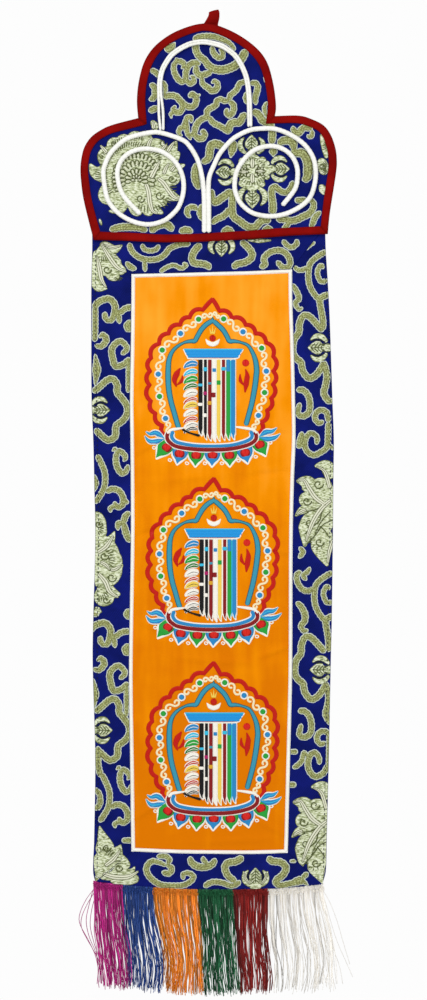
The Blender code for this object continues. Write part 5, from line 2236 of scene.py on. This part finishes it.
HEAD_LOTUS = Flower(
    chart("""
        30 62 68 64 34: 119,164 129,171 139,176 149,181 158,186;
        22 22 19: 124,165 108,157 98.5,152.5;
        20 20 14 2: 120,176 104,174 95,171.5 90,164;
        22 22 19: 122,186 107,194.5 98.5,197;
        22 20 17: 128,160 114,146 107.5,142.5;
        20 19 16: 131,157 123,142 118.5,136.5;
        22 22 18: 139,157 135,141 131,132.5;
        18 18 16: 146,157 144,141 142.5,131.5;
        26 26 20: 150,162 156,148 159.5,141;
        20 17 2: 157,165 170,153 176.4,141.5;
        18 15 4: 158,167 171,161 179,152;
        20 13 1.5: 158,172 173,169 184.8,165;
        20 18 11: 156,178 169,178 180,179.5;
        20 15 3: 152,185 167,194 181,199.5;
        24 18 8: 150,186 158,198 166,204.5;
        20 14 2: 145,190 151,206 163,213.5;
        20 17 9: 143,190 147,206 150.5,215.5;
        24 19 10: 136,188 136,204 138,216;
        24 18 9: 127,186 121,204 118.5,213.5;
        12 8 1: 123,203 115,210.5 109,211;
        3 7 6: 151.5,121 154.5,125 156.5,130
    """),
    chart("""
        2.6 3.4 3 1.2: 158,178.5 163.5,183 169,191 174,197 180.5,199.5;
        2.6 3.4 3 1.2: 146,184 148.6,192 150,203 152.6,211 157.5,213.5;
        3.4 3 1: 151,178 155,170 160,161;
        2.6 2.4 0.8: 163.5,174 166,168 169,163.5;
        2.6 2.4 0.8: 171,171 173.5,167.5 177,165;
        2.6 2.4 0.8: 167.5,152 171,146.5 174.5,142;
        2.4 2.2 0.8: 162,150 164.5,147 167,145;
        2.6 2.4 0.8: 148,147 149.6,142 152.5,138;
        2.6 2.4 0.8: 107,153 103.5,149 100.5,145.5;
        2.6 2.4 0.8: 153,129 153.6,125.5 152.6,122
    """, level=4),
    ((159.5, 195.5, 4.2), (140.5, 198.5, 4.0), (172, 179, 4.0), (163, 143, 3.6), (114, 143.5, 3.2)),
    (
        *fan(134, 174, 34.5, 39.0, 172.0, 186.0, 5, 0.8),
        *fan(134, 174, 34.5, 39.0, 206.0, 220.0, 5, 0.8),
        *fan(134, 174, 34.5, 39.0, 236.0, 250.0, 5, 0.8),
        *fan(134, 174, 34.5, 39.0, 264.0, 282.0, 6, 0.8),
        *fan(134, 174, 27.0, 32.5, 140.0, 330.0, 44, 1.6),
        *fan(150, 186, 20.0, 27.0, 5.0, 120.0, 16, -1.4),
        *petal_row(137, 178, (19.5, 25.5), 4.6, (150.0, 335.0), 19),
        *petal_row(137, 179, (12.5, 19.0), 4.8, (160.0, 380.0), 15),
        *petal_row(136.5, 180, (6.0, 12.0), 4.4, (170.0, 370.0), 9),
        *petal_row(136.5, 180, (0.6, 6.0), 3.6, (180.0, 360.0), 5),
    ),
)
HEAD_LEAVES = Flower(chart("""
    3 7 6 3: 321.5,134 324,142 325.5,151 326.5,158;
    8 11 8: 320.5,158.5 322.8,166 325,174.5;
    4 8 4: 320,185 323,189.5 325,194.5;
    1 2.5 1: 99.5,219 100.5,222 101.5,225
"""), (), ((322.4, 166, 3.4),), (
    *fan(330, 146, 3.0, 7.5, 150.0, 240.0, 7, 0.5),
    *fan(330, 168, 4.0, 9.0, 130.0, 230.0, 9, 0.5),
))
HEAD_BUDS = (
    (251.5, 151.5, 270.0, 1.02), (231.5, 172.3, 180.0, 0.98), (273.5, 169.0, 0.0, 0.98),
    (252.3, 190.0, 90.0, 1.14),
)
HEAD_CENTRE_PETALS = Flower(
    (
        *chart("""
            14 23 26 24 14: 252,154 252,162 252,171 252,180 252,191;
            9 12 9: 234,172.3 252,171.5 272,169.5
        """, level=1),
        *chart("""
            7 7: 242,161.5 242.6,161.5;
            7 7: 262,160.5 262.6,160.5;
            7 7: 242,183.5 242.6,183.5;
            6 6: 261.6,184 262.2,184
        """),
        *chart("""
            5 5: 266.6,163.6 267.2,163.6;
            5 5: 266.6,177 267.2,177
        """, level=2),
    ),
    chart("""
        2 3.4 2: 252.3,159 252.3,163.5 252.3,168;
        2 3.4 2: 252.3,174 252.3,178.5 252.3,183;
        1.4 2.6 1.4: 241,172.2 243.6,172.2 246.4,172.2;
        1.4 2.6 1.4: 257.4,171.4 260.2,171.4 263,171.2
    """, level=4),
    (),
    (
        *petal_row(252.3, 171.2, (3.0, 8.5), 4.0, (0.0, 315.0), 8),
        *petal_row(243.6, 172.2, (2.0, 5.0), 3.0, (0.0, 300.0), 6),
        *petal_row(260.2, 171.4, (2.0, 5.0), 3.0, (0.0, 300.0), 6),
        *fan(252.3, 171.2, 10.5, 13.5, 200.0, 340.0, 13, 0.4),
        *fan(252.3, 171.2, 10.5, 15.0, 20.0, 160.0, 13, 0.4),
    ),
)


@dataclass(frozen=True)
class Brocade:
    """Every figure on one brocade sheet."""

    name: str
    gold: tuple[Mark, ...]
    flowers: tuple[Flower, ...]
    buds: tuple[tuple[float, float, float, float], ...]
    stitch_line: Places = ()

    def build(self, cloth: Cloth) -> list[Piece]:
        """Weaves the figures: pale outline under all, then gold, pale petals, lines and spirals.

        Args:
            cloth: the sheet under them.

        Returns:
            The pieces.
        """
        pale, light, dark = [], [], []
        for place in self.buds:
            more_pale, more_dark = bud(*place)
            pale += more_pale
            dark += more_dark
        for flower in self.flowers:
            for move in flower.moves:
                pale += [moved(mark, *move) for mark in flower.petals]
                light += [moved(mark, *move) for mark in flower.leaf_lines]
                dark += [moved(mark, *move) for mark in flower.lines]
                for x, y, radius in flower.spirals:
                    curl = spiral(x + move[0], y + move[1], SPIRAL_GAIN * radius, SPIRAL_TURNS)
                    dark.append(Mark((1.1, 1.0, 0.8), curl, OLIVE_TINT, 4))
        gold = list(self.gold)
        light = [
            replace(mark, widths=tuple(LEAF_LINE_GAIN * width for width in mark.widths), tint=CREAM_TINT)
            for mark in light
        ]
        cores = [Mark((0.5, 0.6, 0.3), mark.points, OLIVE_TINT, mark.level + 1) for mark in light]
        run = dashes(self.stitch_line, 4.4, 2.4) if self.stitch_line else []
        layers = (
            (
                MarkLayer(cloth, 0.09, wider=0.7, cloudy=True),
                [replace(mark, tint=OUTLINE_TINT) for mark in gold],
            ),
            (MarkLayer(cloth, 0.08, wider=0.55), [replace(mark, tint=OLIVE_TINT) for mark in pale]),
            (MarkLayer(cloth, 0.22, wider=0.45), [replace(mark, tint=OLIVE_TINT) for mark in light]),
            (MarkLayer(cloth, 0.26, crown=0.05), light),
            (MarkLayer(cloth, 0.28), cores),
            (MarkLayer(cloth, 0.26), dark),
            (MarkLayer(cloth, 0.2), run),
        )
        lines = Skin.empty()
        for layer, marks in layers:
            if marks:
                layer.build(marks, lines)
        figures = MarkLayer(cloth, 0.15, crown=0.07, wider=-0.2, cloudy=True).build(gold)
        pieces = [
            finish_piece(lines, f"woven_lines_{self.name}", PLAIN_YARN, "blue_brocade"),
            finish_piece(figures, f"gold_figures_{self.name}", GOLD_YARN, "blue_brocade"),
        ]
        if pale:
            petals = MarkLayer(cloth, 0.16, crown=0.08).build(pale)
            pieces.append(finish_piece(petals, f"pale_flowers_{self.name}", PALE_YARN, "blue_brocade"))
        return pieces


def repeated(groups: tuple[Group, ...]) -> tuple[Mark, ...]:
    """Every mark of some groups, at every repeat."""
    return tuple(mark for group in groups for mark in group.laid())


BROCADES = {
    "head_cloth": Brocade("head", HEAD_MARKS, (HEAD_LOTUS, HEAD_LEAVES, HEAD_CENTRE_PETALS), HEAD_BUDS),
    "border_left": Brocade(
        "left", repeated(LEFT_REPEAT), (LEFT_SPRAY, LEFT_LEAVES, CORNER_SPRAY, FOOT_SPRAY), LEFT_BUDS,
        cells("95.6,246 95,330 97,430 98.4,540 97,640 98,760 97,872"),
    ),
    "border_right": Brocade(
        "right", repeated(RIGHT_REPEAT), (RIGHT_SPRAY,), RIGHT_BUDS,
        cells("323.5,246 328.6,330 330.6,420 330,520 328.2,620 326,740 323.6,872"),
    ),
    "border_top": Brocade("top", TOP_MARKS, (TOP_LEAVES, CORNER_SPRAY), TOP_BUDS),
    "border_bottom": Brocade("bottom", BOTTOM_MARKS, (BOTTOM_LEAVES, FOOT_SPRAY), BOTTOM_BUDS),
}


class Thread(Enum):
    """Embroidery thread colours."""

    RED = "C81200"
    BRIGHT_RED = "DC1E12"
    MAROON = "8C1216"
    TEAL = "3A9AB6"
    DEEP_TEAL = "1E5C58"
    BLUE = "2A8CCC"
    AZURE = "1C9AE6"
    SKY = "38C4EA"
    GREEN = "28A63C"
    DEEP_GREEN = "1C7A30"
    YELLOW = "FAD658"
    GOLD = "E0A828"
    WHITE = "FFFBF0"
    CREAM = "FFF0C4"
    BLACK = "0C0C0E"
    MAGENTA = "B01866"


def stitch(
    thread: Thread, level: int, widths: tuple[float, ...], *points: tuple[float, float], flat: bool = False
) -> Mark:
    """One satin-stitched mark."""
    return Mark(widths, points, thread.value, level, flat)


@dataclass(frozen=True)
class Emblem:
    """The embroidered emblem: scalloped halo, beads, arch, capital and striped column on a lotus throne."""

    halo_left: Places = cells("""
        212.6,299.6 203,310.2 189.7,317.8 180.3,325.2 168.6,333.9 159.1,344.1 151,358.4 149.9,371.6
        149.4,385.4 150.7,401.7 155.3,414 162.4,426.2 164.5,435.5
    """)
    halo_right: Places = cells("""
        212.6,299.6 219.4,311.4 231.9,318.6 245.7,325.2 255.4,333.9 266.1,343 273.3,356.8 273.3,371.6
        273,384.9 271.2,398.7 267.1,410.9 261.5,422.7 259,434
    """)
    beads_left: Places = cells("""
        212.4,314 198.6,319.8 180.5,334 162.2,350.6 158.2,374.7 159.5,397 165.5,419 170,434
    """)
    beads_right: Places = cells("""
        212.8,313.8 223.6,319.4 243,332.3 261.7,348.6 266.4,371.6 264.6,393 258.5,416 254,430
    """)
    arch_left: Places = cells("""
        212.8,321 206.3,325 201.2,330.5 196.8,338 194.8,341.5 191,341.7 184.4,343 176.9,347.3 171.8,353
        169,360.6 168.2,370 168.2,380.3 168.9,390.5 170.9,401.7 174.4,414 177.4,424.5 179.4,429
    """)
    arch_right: Places = cells("""
        212.8,321 217.7,325.2 223.3,330.8 227.3,337.4 229.4,341.5 234.5,341.7 240.6,342.8 247.8,345.8
        252.3,352.4 255.4,360.6 256.7,370 256.2,377 254.9,387.4 252.3,401.7 249.3,413.5 245.7,426.2
    """)
    # Where across, width, thread and foot of each stripe.
    stripes: tuple = (
        (200.5, 4.2, Thread.BLACK, 434.5), (205.4, 3.0, Thread.BLACK, 438.5),
        (209.8, 3.7, Thread.MAROON, 439.5),
        (214.2, 4.2, Thread.WHITE, 440.5), (218.6, 3.7, Thread.YELLOW, 440.0),
        (223.5, 3.3, Thread.MAROON, 439.0),
        (228.2, 4.1, Thread.GREEN, 439.0), (233.2, 4.0, Thread.BLUE, 438.5),
    )
    # Middle, width, height and thread of each small block.
    blocks: tuple = (
        (205.3, 369.8, 3.2, 4.0, Thread.SKY), (214.2, 370.7, 3.0, 3.6, Thread.BLUE),
        (223.6, 369.4, 4.0, 3.4, Thread.SKY),
        (209.7, 384.0, 3.0, 2.4, Thread.TEAL), (218.6, 383.2, 3.2, 4.4, Thread.GREEN),
        (205.2, 393.9, 3.0, 3.4, Thread.MAGENTA),
        (213.6, 395.6, 3.4, 4.8, Thread.MAROON), (209.6, 403.6, 3.6, 3.8, Thread.GOLD),
        (200.2, 405.0, 4.2, 3.0, Thread.WHITE),
        (204.6, 415.8, 3.6, 3.6, Thread.WHITE), (200.4, 385.6, 4.0, 2.6, Thread.SKY),
    )
    # Root, tip, thread and heart of each petal.
    petals: tuple = (
        (167.5, 444.5, 156.0, 459.2, Thread.GREEN, (166.8, 447.2)),
        (180.5, 451.0, 177.0, 465.4, Thread.BLUE, (179.6, 453.6)),
        (196.3, 453.0, 195.2, 467.6, Thread.GREEN, (196.2, 455.2)),
        (212.4, 453.4, 211.9, 467.6, Thread.BLUE, (212.6, 454.8)),
        (229.4, 453.0, 229.8, 467.6, Thread.GREEN, (229.4, 455.2)),
        (244.6, 450.6, 247.8, 464.4, Thread.BLUE, (245.2, 452.6)),
        (259.0, 442.5, 265.9, 456.8, Thread.GREEN, (259.8, 444.4)),
    )
    loops: Places = cells("""
        169.6,460.2 186.7,463.4 204.6,463.4 221.6,463.4 238.2,460.8 255.4,456.9 153.9,447.9 269.9,442.8
    """)

    def halo(self, cusps: Places, outwards: float) -> list[Mark]:
        """Scallops between the cusps: arcs that bulge by a quarter of their chord, but not at the peak.

        Args:
            cusps: places of the cusps, from the peak down.
            outwards: 1 or -1, for the way that the arcs bulge.

        Returns:
            The marks.
        """
        marks = []
        for k, (a, b) in enumerate(zip(cusps, cusps[1:])):
            a, b = np.array(a), np.array(b)
            run = b - a
            out = outwards * np.array((-run[1], run[0]))
            bulge = 0.02 if k == 0 else 0.24
            shares = (-0.06, 0.2, 0.5, 0.8, 1.06)
            points = [tuple((a + t * run + 4.0 * t * (1.0 - t) * bulge * out).tolist()) for t in shares]
            marks.append(stitch(Thread.RED, 0, (3.8, 4.4, 4.4, 3.8), *points, flat=True))
        return marks

    def bead_row(self, places: Places) -> list[Mark]:
        """Beads in white rings, with an S of cream cord between each two, and none at the two ends.

        Args:
            places: places of the beads and of the row's two ends.

        Returns:
            The marks.
        """
        marks = []
        for k, (x, y) in enumerate(places[1:-1]):
            thread = Thread.GREEN if k % 2 == 0 else Thread.BLUE
            marks.append(stitch(Thread.WHITE, 1, (8.2, 8.2), (x, y - 0.5), (x, y + 0.5)))
            marks.append(stitch(thread, 3, (5.4, 5.4), (x, y - 0.6), (x, y + 0.6)))
        shape = ((0.32, -0.4), (0.24, 1.2), (0.08, 0.9), (0.03, -1.6), (0.2, -3.5), (0.4, -2.4), (0.5, 0.0))
        shape += tuple((1.0 - a, -s) for a, s in shape[-2::-1])
        for k, ((ax, ay), (bx, by)) in enumerate(zip(places, places[1:])):
            length = math.hypot(bx - ax, by - ay)
            turn = math.degrees(math.atan2(by - ay, bx - ax))
            near = 0.4 if k == 0 else 4.4
            far = length - (0.4 if k == len(places) - 2 else 4.4)
            local = tuple((near + (far - near) * a, s * min((far - near) / 13.0, 1.0)) for a, s in shape)
            marks.append(stitch(Thread.CREAM, 1, (2.0, 2.2, 2.0), *placed(ax, ay, turn, local)))
        return marks

    def arch(self) -> list[Mark]:
        """The teal arch with its darker outer line.

        Returns:
            The marks.
        """
        wide = (3.8, 4.0, 3.8, 1.6, 2.8, 4.2, 4.5, 4.5, 4.3, 4.2, 4.0)
        marks = [
            stitch(Thread.DEEP_TEAL, 0, (1.4, 5.4), (212.6, 318.0), (212.6, 322.4)),
            stitch(Thread.TEAL, 1, (0.8, 4.4), (212.6, 319.0), (212.6, 322.6)),
        ]
        for way in (self.arch_left, self.arch_right):
            marks.append(stitch(Thread.DEEP_TEAL, 0, tuple(w + 1.3 for w in wide), *way))
            marks.append(stitch(Thread.TEAL, 1, wide, *way))
        return marks

    def crest(self) -> list[Mark]:
        """Flame, disc and crescent under the arch.

        Returns:
            The marks.
        """
        rays = [
            stitch(
                Thread.YELLOW, 1, (2.2, 0.5), (212.6 + dx * 0.4, 334.5),
                (212.6 + dx, 326.6 + abs(dx) * 0.7),
            )
            for dx in (-3.0, 0.0, 3.0)
        ]
        return rays + [
            stitch(
                Thread.WHITE, 1, (0.6, 4.2, 4.6, 4.2, 0.6), (205.6, 339.6), (208.6, 343.4), (212.6, 344.8),
                (216.6, 343.4), (219.6, 339.6),
            ),
            stitch(Thread.RED, 3, (6.4, 6.4), (212.3, 338.6), (212.9, 338.6)),
        ]

    def capital(self) -> list[Mark]:
        """The blue capital: three rows of satin stitch, a light line on top and a white edge.

        Returns:
            The marks.
        """
        marks = [
            stitch(
                Thread.WHITE, 1, (1.3, 1.3, 1.3), (183.4, 349.6), (187.4, 357.6), (190.5, 359.2),
                (213, 359.6), (236, 359.0), (240, 354.5), (243.4, 349.8),
            ),
        ]
        rows = ((351.4, 184.8, 241.8), (354.0, 186.2, 240.4), (356.6, 187.8, 238.4))
        for y, left, right in rows:
            marks.append(stitch(Thread.AZURE, 2, (3.4, 3.4), (left, y), (right, y), flat=True))
        marks.append(stitch(Thread.SKY, 3, (1.3, 1.3), (183.8, 349.9), (242.8, 349.9), flat=True))
        return marks

    def column(self) -> list[Mark]:
        """Upright stripes between white lines, with small blocks across them and a pointed white foot.

        Returns:
            The marks.
        """
        marks = [stitch(Thread.WHITE, 0, (37.6, 37.6), (217.3, 359.5), (217.3, 436.0), flat=True)]
        marks.append(stitch(Thread.SKY, 1, (1.4, 1.4), (230.7, 361.0), (230.7, 437.0), flat=True))
        for x, width, thread, foot in self.stripes:
            tip = (x + 1.6, foot + 2.6)
            marks.append(stitch(
                Thread.WHITE, 1, (width + 1.2, width + 1.4, width + 0.8, 1.2), (x, foot - 14.0),
                (x, foot - 3.0), tip,
            ))
            straight = (width,) * 12
            marks.append(stitch(
                thread, 2, (*straight, 1.0), (x, 360.2), (x, 386), (x, 412), (x, foot - 4.0),
                (x + 0.9, foot + 0.6), flat=True,
            ))
        marks.append(stitch(Thread.BLUE, 3, (3.6, 3.6), (228.2, 360.2), (228.2, 372.0), flat=True))
        for x, y, width, height, thread in self.blocks:
            marks.append(stitch(
                thread, 4, (width + 0.6, width + 0.6), (x, y - height / 2), (x, y + height / 2), flat=True,
            ))
        return marks

    def fronds(self) -> list[Mark]:
        """Plain curled fronds beside the column, and a leaf and a bud in red on either side.

        Returns:
            The marks.
        """
        rows = (
            (366.0, 5.6, Thread.BLUE), (374.0, 4.6, Thread.SKY), (381.5, 6.0, Thread.GREEN),
            (388.0, 4.0, Thread.DEEP_GREEN),
            (395.0, 6.0, Thread.WHITE), (401.5, 3.2, Thread.RED), (407.0, 5.6, Thread.YELLOW),
            (414.5, 5.0, Thread.WHITE),
            (421.0, 3.4, Thread.RED), (426.5, 3.4, Thread.WHITE), (431.0, 3.0, Thread.BLACK),
        )
        marks = []
        for y, width, thread in rows:
            path = ((197.6, y - 1.0), (192.0, y - 2.2), (186.0, y + 0.4), (184.2, y + 3.0))
            marks.append(stitch(Thread.WHITE, 0, (width + 0.6, width + 1.6, width + 1.2, 2.4), *path))
            marks.append(stitch(thread, 2, (width - 1.4, width, width - 0.8, 0.9), *path))
            vein = Thread.BLACK if thread in (Thread.WHITE, Thread.YELLOW) else Thread.WHITE
            marks.append(stitch(vein, 3, (0.5, 0.9, 0.4), *path[:3]))
        leaf_left = ((176.5, 387.5), (174.5, 380.5), (177.0, 374.0), (180.5, 368.5))
        marks.append(stitch(Thread.RED, 1, (1.0, 5.0, 6.0, 1.0), *leaf_left))
        marks.append(stitch(Thread.RED, 1, (1.0, 3.6, 1.0), (177.0, 385.5), (181.5, 381.5), (182.5, 376.0)))
        marks.append(stitch(Thread.BRIGHT_RED, 1, (7.0, 7.0), (245.4, 363.4), (246.0, 363.4)))
        marks.append(stitch(
            Thread.RED, 1, (1.0, 5.0, 5.4, 1.0), (245.5, 369.5), (247.2, 376.0), (246.2, 384.0),
            (245.0, 393.0),
        ))
        marks.append(stitch(Thread.RED, 1, (1.0, 3.6, 1.0), (244.2, 386.0), (240.4, 381.0), (240.2, 374.5)))
        return marks

    def throne(self) -> list[Mark]:
        """The oval seat with its blue and maroon bands, and the seven petals under it.

        Returns:
            The marks.
        """
        marks = []
        for x, y, tip_x, tip_y, thread, heart in self.petals:
            mid = (mixed(x, tip_x, 0.45), mixed(y, tip_y, 0.45))
            root = (mixed(x, tip_x, -0.35), mixed(y, tip_y, -0.35))
            marks.append(stitch(
                Thread.WHITE, 0, (18.4, 18.4, 18.0, 15.4, 8.4, 1.2), root, (x, y), mid,
                (tip_x, tip_y + 0.8), flat=True,
            ))
            marks.append(stitch(
                thread, 1, (16.2, 16.2, 15.8, 12.8, 6.0, 0.5), root, (x, y), mid, (tip_x, tip_y - 1.0),
                flat=True,
            ))
            marks.append(stitch(
                Thread.MAROON, 2, (10.4, 10.4), (heart[0] - 0.3, heart[1] + 0.6),
                (heart[0] + 0.3, heart[1] + 0.6),
            ))
            marks.append(stitch(
                Thread.BRIGHT_RED, 3, (7.6, 7.6), (heart[0] - 0.3, heart[1] + 0.4),
                (heart[0] + 0.3, heart[1] + 0.4),
            ))
        for x, y in self.loops:
            marks.append(stitch(Thread.WHITE, 0, (1.1, 1.1), *spiral(x, y, 2.3, 1.0)[:12], (x + 2.3, y)))
        rim = cells("""
            168.4,432.4 167,437.5 169.2,442.4 177,447.2 194,449.8 212.4,450.4 231,449.4 247,445.8
            254.6,441.4 256.4,436.6 254.4,431.8
        """)
        band_path = cells("""
            173.2,431.6 171.6,436.4 174,441 180,443.8 195,446.2 212.4,446.7 230,445.9 243,442.9 250.4,439.4
            252.2,435.6 250.4,431.4
        """)
        marks.append(stitch(Thread.WHITE, 3, (6.0, 6.0, 6.0), *rim))
        marks.append(stitch(Thread.MAROON, 4, (3.8, 4.0, 3.8), *rim))
        marks.append(stitch(Thread.WHITE, 3, (6.0, 5.4, 6.0), *band_path))
        marks.append(stitch(Thread.BLUE, 5, (3.6, 3.0, 3.6), *band_path))
        marks.append(stitch(
            Thread.WHITE, 5, (2.4, 3.0, 1.4), (167.4, 434.2), (170.4, 430.8), (176.0, 429.6), (183.6, 428.6),
        ))
        marks.append(stitch(
            Thread.WHITE, 5, (1.6, 3.0, 2.4), (235.3, 427.4), (246.0, 428.8), (253.6, 430.6), (256.6, 434.0),
        ))
        marks.append(stitch(Thread.BLACK, 4, (2.2, 1.6, 2.6), (182.2, 430.0), (190.0, 433.6), (199.8, 436.4)))
        return marks

    def ribbons(self) -> list[Mark]:
        """A two-lobed blue leaf at each end of the throne.

        Returns:
            The marks.
        """
        ways = (
            ((164.6, 439.0), (156.0, 433.4), (150.0, 434.4), (145.6, 431.9)),
            ((164.6, 439.4), (156.6, 441.9), (149.2, 441.6), (144.6, 436.1)),
            ((259.0, 437.2), (266.0, 432.6), (272.0, 431.8), (277.2, 428.0)),
            ((259.0, 437.6), (267.4, 439.6), (275.0, 438.0), (280.6, 433.8)),
        )
        marks = []
        for way in ways:
            marks.append(stitch(Thread.WHITE, 1, (2.4, 7.4, 6.0, 1.2), *way))
            marks.append(stitch(Thread.BLUE, 2, (0.8, 5.2, 4.0, 0.6), *way))
            marks.append(stitch(Thread.SKY, 3, (0.4, 1.2, 0.4), *way))
        return marks

    def marks(self) -> list[Mark]:
        """Every mark of the emblem.

        Returns:
            The marks.
        """
        parts = (
            self.halo(self.halo_left, 1.0), self.halo(self.halo_right, -1.0), self.bead_row(self.beads_left),
            self.bead_row(self.beads_right), self.arch(), self.crest(), self.column(), self.capital(),
            self.fronds(), self.ribbons(), self.throne(),
        )
        return [mark for part in parts for mark in part]

    def build(self, cloth: Cloth, number: int, right: float, down: float) -> Piece:
        """One emblem on the panel.

        Args:
            cloth: the panel.
            number: its number from the top.
            right: cells to the right of the first.
            down: cells below the first.

        Returns:
            The piece.
        """
        marks = [moved(mark, right, down) for mark in self.marks()]
        skin = MarkLayer(cloth, 0.22, crown=0.16).build(marks)
        return finish_piece(skin, f"embroidery_{number}", EMBROIDERY, "orange_satin")


# Moves of the three emblems on the panel, in cells right and down.
EMBLEM_MOVES = ((0.0, -0.6), (1.2, 179.2), (1.1, 363.1))


@dataclass(frozen=True)
class Studio:
    """Plain pale floor, soft light and the camera, face on."""

    camera_z: float = -0.4127
    lens_mm: float = 85.0
    sensor_mm: float = 36.0
    picture_height: float = 0.844

    def build(self) -> None:
        """Sets the studio up."""
        scene = bpy.context.scene
        scene.view_settings.view_transform = "Standard"
        self.add_floor()
        self.add_world(scene)
        self.add_lamp("key_light", (-0.9, -1.7, 0.9), (0.0, 0.0, -0.4), 1.3, 26.0)
        self.add_lamp("side_light", (1.5, -1.5, -0.1), (0.0, 0.0, -0.4), 1.4, 10.0)
        camera = bpy.data.cameras.new("front_camera")
        camera.lens = self.lens_mm
        camera.sensor_width = self.sensor_mm
        camera.clip_start = 0.05
        camera.clip_end = 50.0
        stand = bpy.data.objects.new("front_camera", camera)
        scene.collection.objects.link(stand)
        away = self.picture_height * self.lens_mm / self.sensor_mm
        stand.location = (0.0, -away - 0.003, self.camera_z)
        stand.rotation_euler = (math.pi / 2.0, 0.0, 0.0)
        scene.camera = stand

    def add_lamp(self, name: str, place: tuple, target: tuple, size: float, watts: float) -> None:
        """A square soft lamp that faces a point.

        Args:
            name: its name.
            place: where it stands, in metres.
            target: what it faces.
            size: its side in metres.
            watts: its power.
        """
        lamp = bpy.data.lights.new(name, "AREA")
        lamp.size = size
        lamp.energy = watts
        stand = bpy.data.objects.new(name, lamp)
        bpy.context.scene.collection.objects.link(stand)
        ox, oy, oz = (p - t for p, t in zip(place, target))
        stand.location = place
        stand.rotation_euler = (math.atan2(math.hypot(ox, oy), oz), 0.0, math.atan2(oy, ox) + math.pi / 2.0)

    def add_floor(self) -> None:
        """A pale floor under the hanging, out of the camera's view."""
        across, deep = np.meshgrid(np.linspace(-1.5, 1.5, 5), np.linspace(-1.6, 0.3, 4))
        points = np.stack([across, deep, np.full(across.shape, -1.0)], axis=-1).reshape(-1, 3) / MM
        skin = Skin.empty()
        skin.add(points, [grid_faces(np.arange(20).reshape(4, 5))], points[:, :2])
        floor = skin.piece("floor")
        material = bpy.data.materials.new("matt white paper")
        material.use_nodes = True
        shader = material.node_tree.nodes["Principled BSDF"]
        shader.inputs["Base Color"].default_value = linear("F4F4F2")
        shader.inputs["Roughness"].default_value = 0.9
        floor.data.materials.append(material)
        floor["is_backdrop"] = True

    def add_world(self, scene: bpy.types.Scene) -> None:
        """A white surround that lights softly and shows as white paper.

        Args:
            scene: the scene that it belongs to.
        """
        world = bpy.data.worlds.new("white_surround")
        world.use_nodes = True
        tree = world.node_tree
        tree.nodes.clear()
        path = add_node(tree, "ShaderNodeLightPath")
        glow = add_node(tree, "ShaderNodeMapRange", {0: path.outputs["Is Camera Ray"], 3: 0.55, 4: 1.0})
        paper = {"Color": linear("FDFDFD"), "Strength": glow.outputs[0]}
        surround = add_node(tree, "ShaderNodeBackground", paper)
        add_node(tree, "ShaderNodeOutputWorld", {"Surface": surround.outputs[0]})
        scene.world = world


def write_sizes() -> None:
    """Reads the CAD box and the visual model's box as lists of numbers, and keeps neither."""
    for name, box in (("cad", CAD_BOX), ("visual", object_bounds())):
        [[float(value) for value in corner] for corner in box]


def main() -> None:
    """Builds the sub-assemblies in order."""
    logging.basicConfig(level=logging.INFO, format="%(message)s")
    Studio().build()
    head = Head()
    body = Body()
    head_cloth = head.build_cloth()
    head_trim = [head.build_binding(), head.build_loop()]
    cords = (
        ArchCord("arch_braid", "arch_cord", ARCH_ROUTE),
        SewnCord("left_scroll_braid", "left_scroll_cord", LEFT_SCROLL_ROUTE),
        SewnCord("right_scroll_braid", "right_scroll_cord", RIGHT_SCROLL_ROUTE),
    )
    head_trim += [cord.build() for cord in cords]
    borders = body.build_borders()
    panel = body.build_panel()
    piping = body.build_piping()
    chance = np.random.default_rng(THREAD_SEED)
    fringes = [fringe.build(chance) for fringe in FRINGES]
    cloths = {"head_cloth": head.cloth, **body.cloths}
    figures = {name: brocade.build(cloths[name]) for name, brocade in BROCADES.items()}
    emblem = Emblem()
    emblems = [emblem.build(cloths["centre_panel"], k + 1, *move) for k, move in enumerate(EMBLEM_MOVES)]

    head_area = ring_area(head.ring) * MM * MM
    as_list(head_trim[1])
    panel_area = ring_area(body.cloths["centre_panel"].ring) * MM * MM
    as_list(borders["border_top"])
    for name, piece in borders.items():
        ring = body.cloths[name].ring
        area = ring_area(ring) * MM * MM
    write_sizes()


if __name__ == "__main__":
    main()
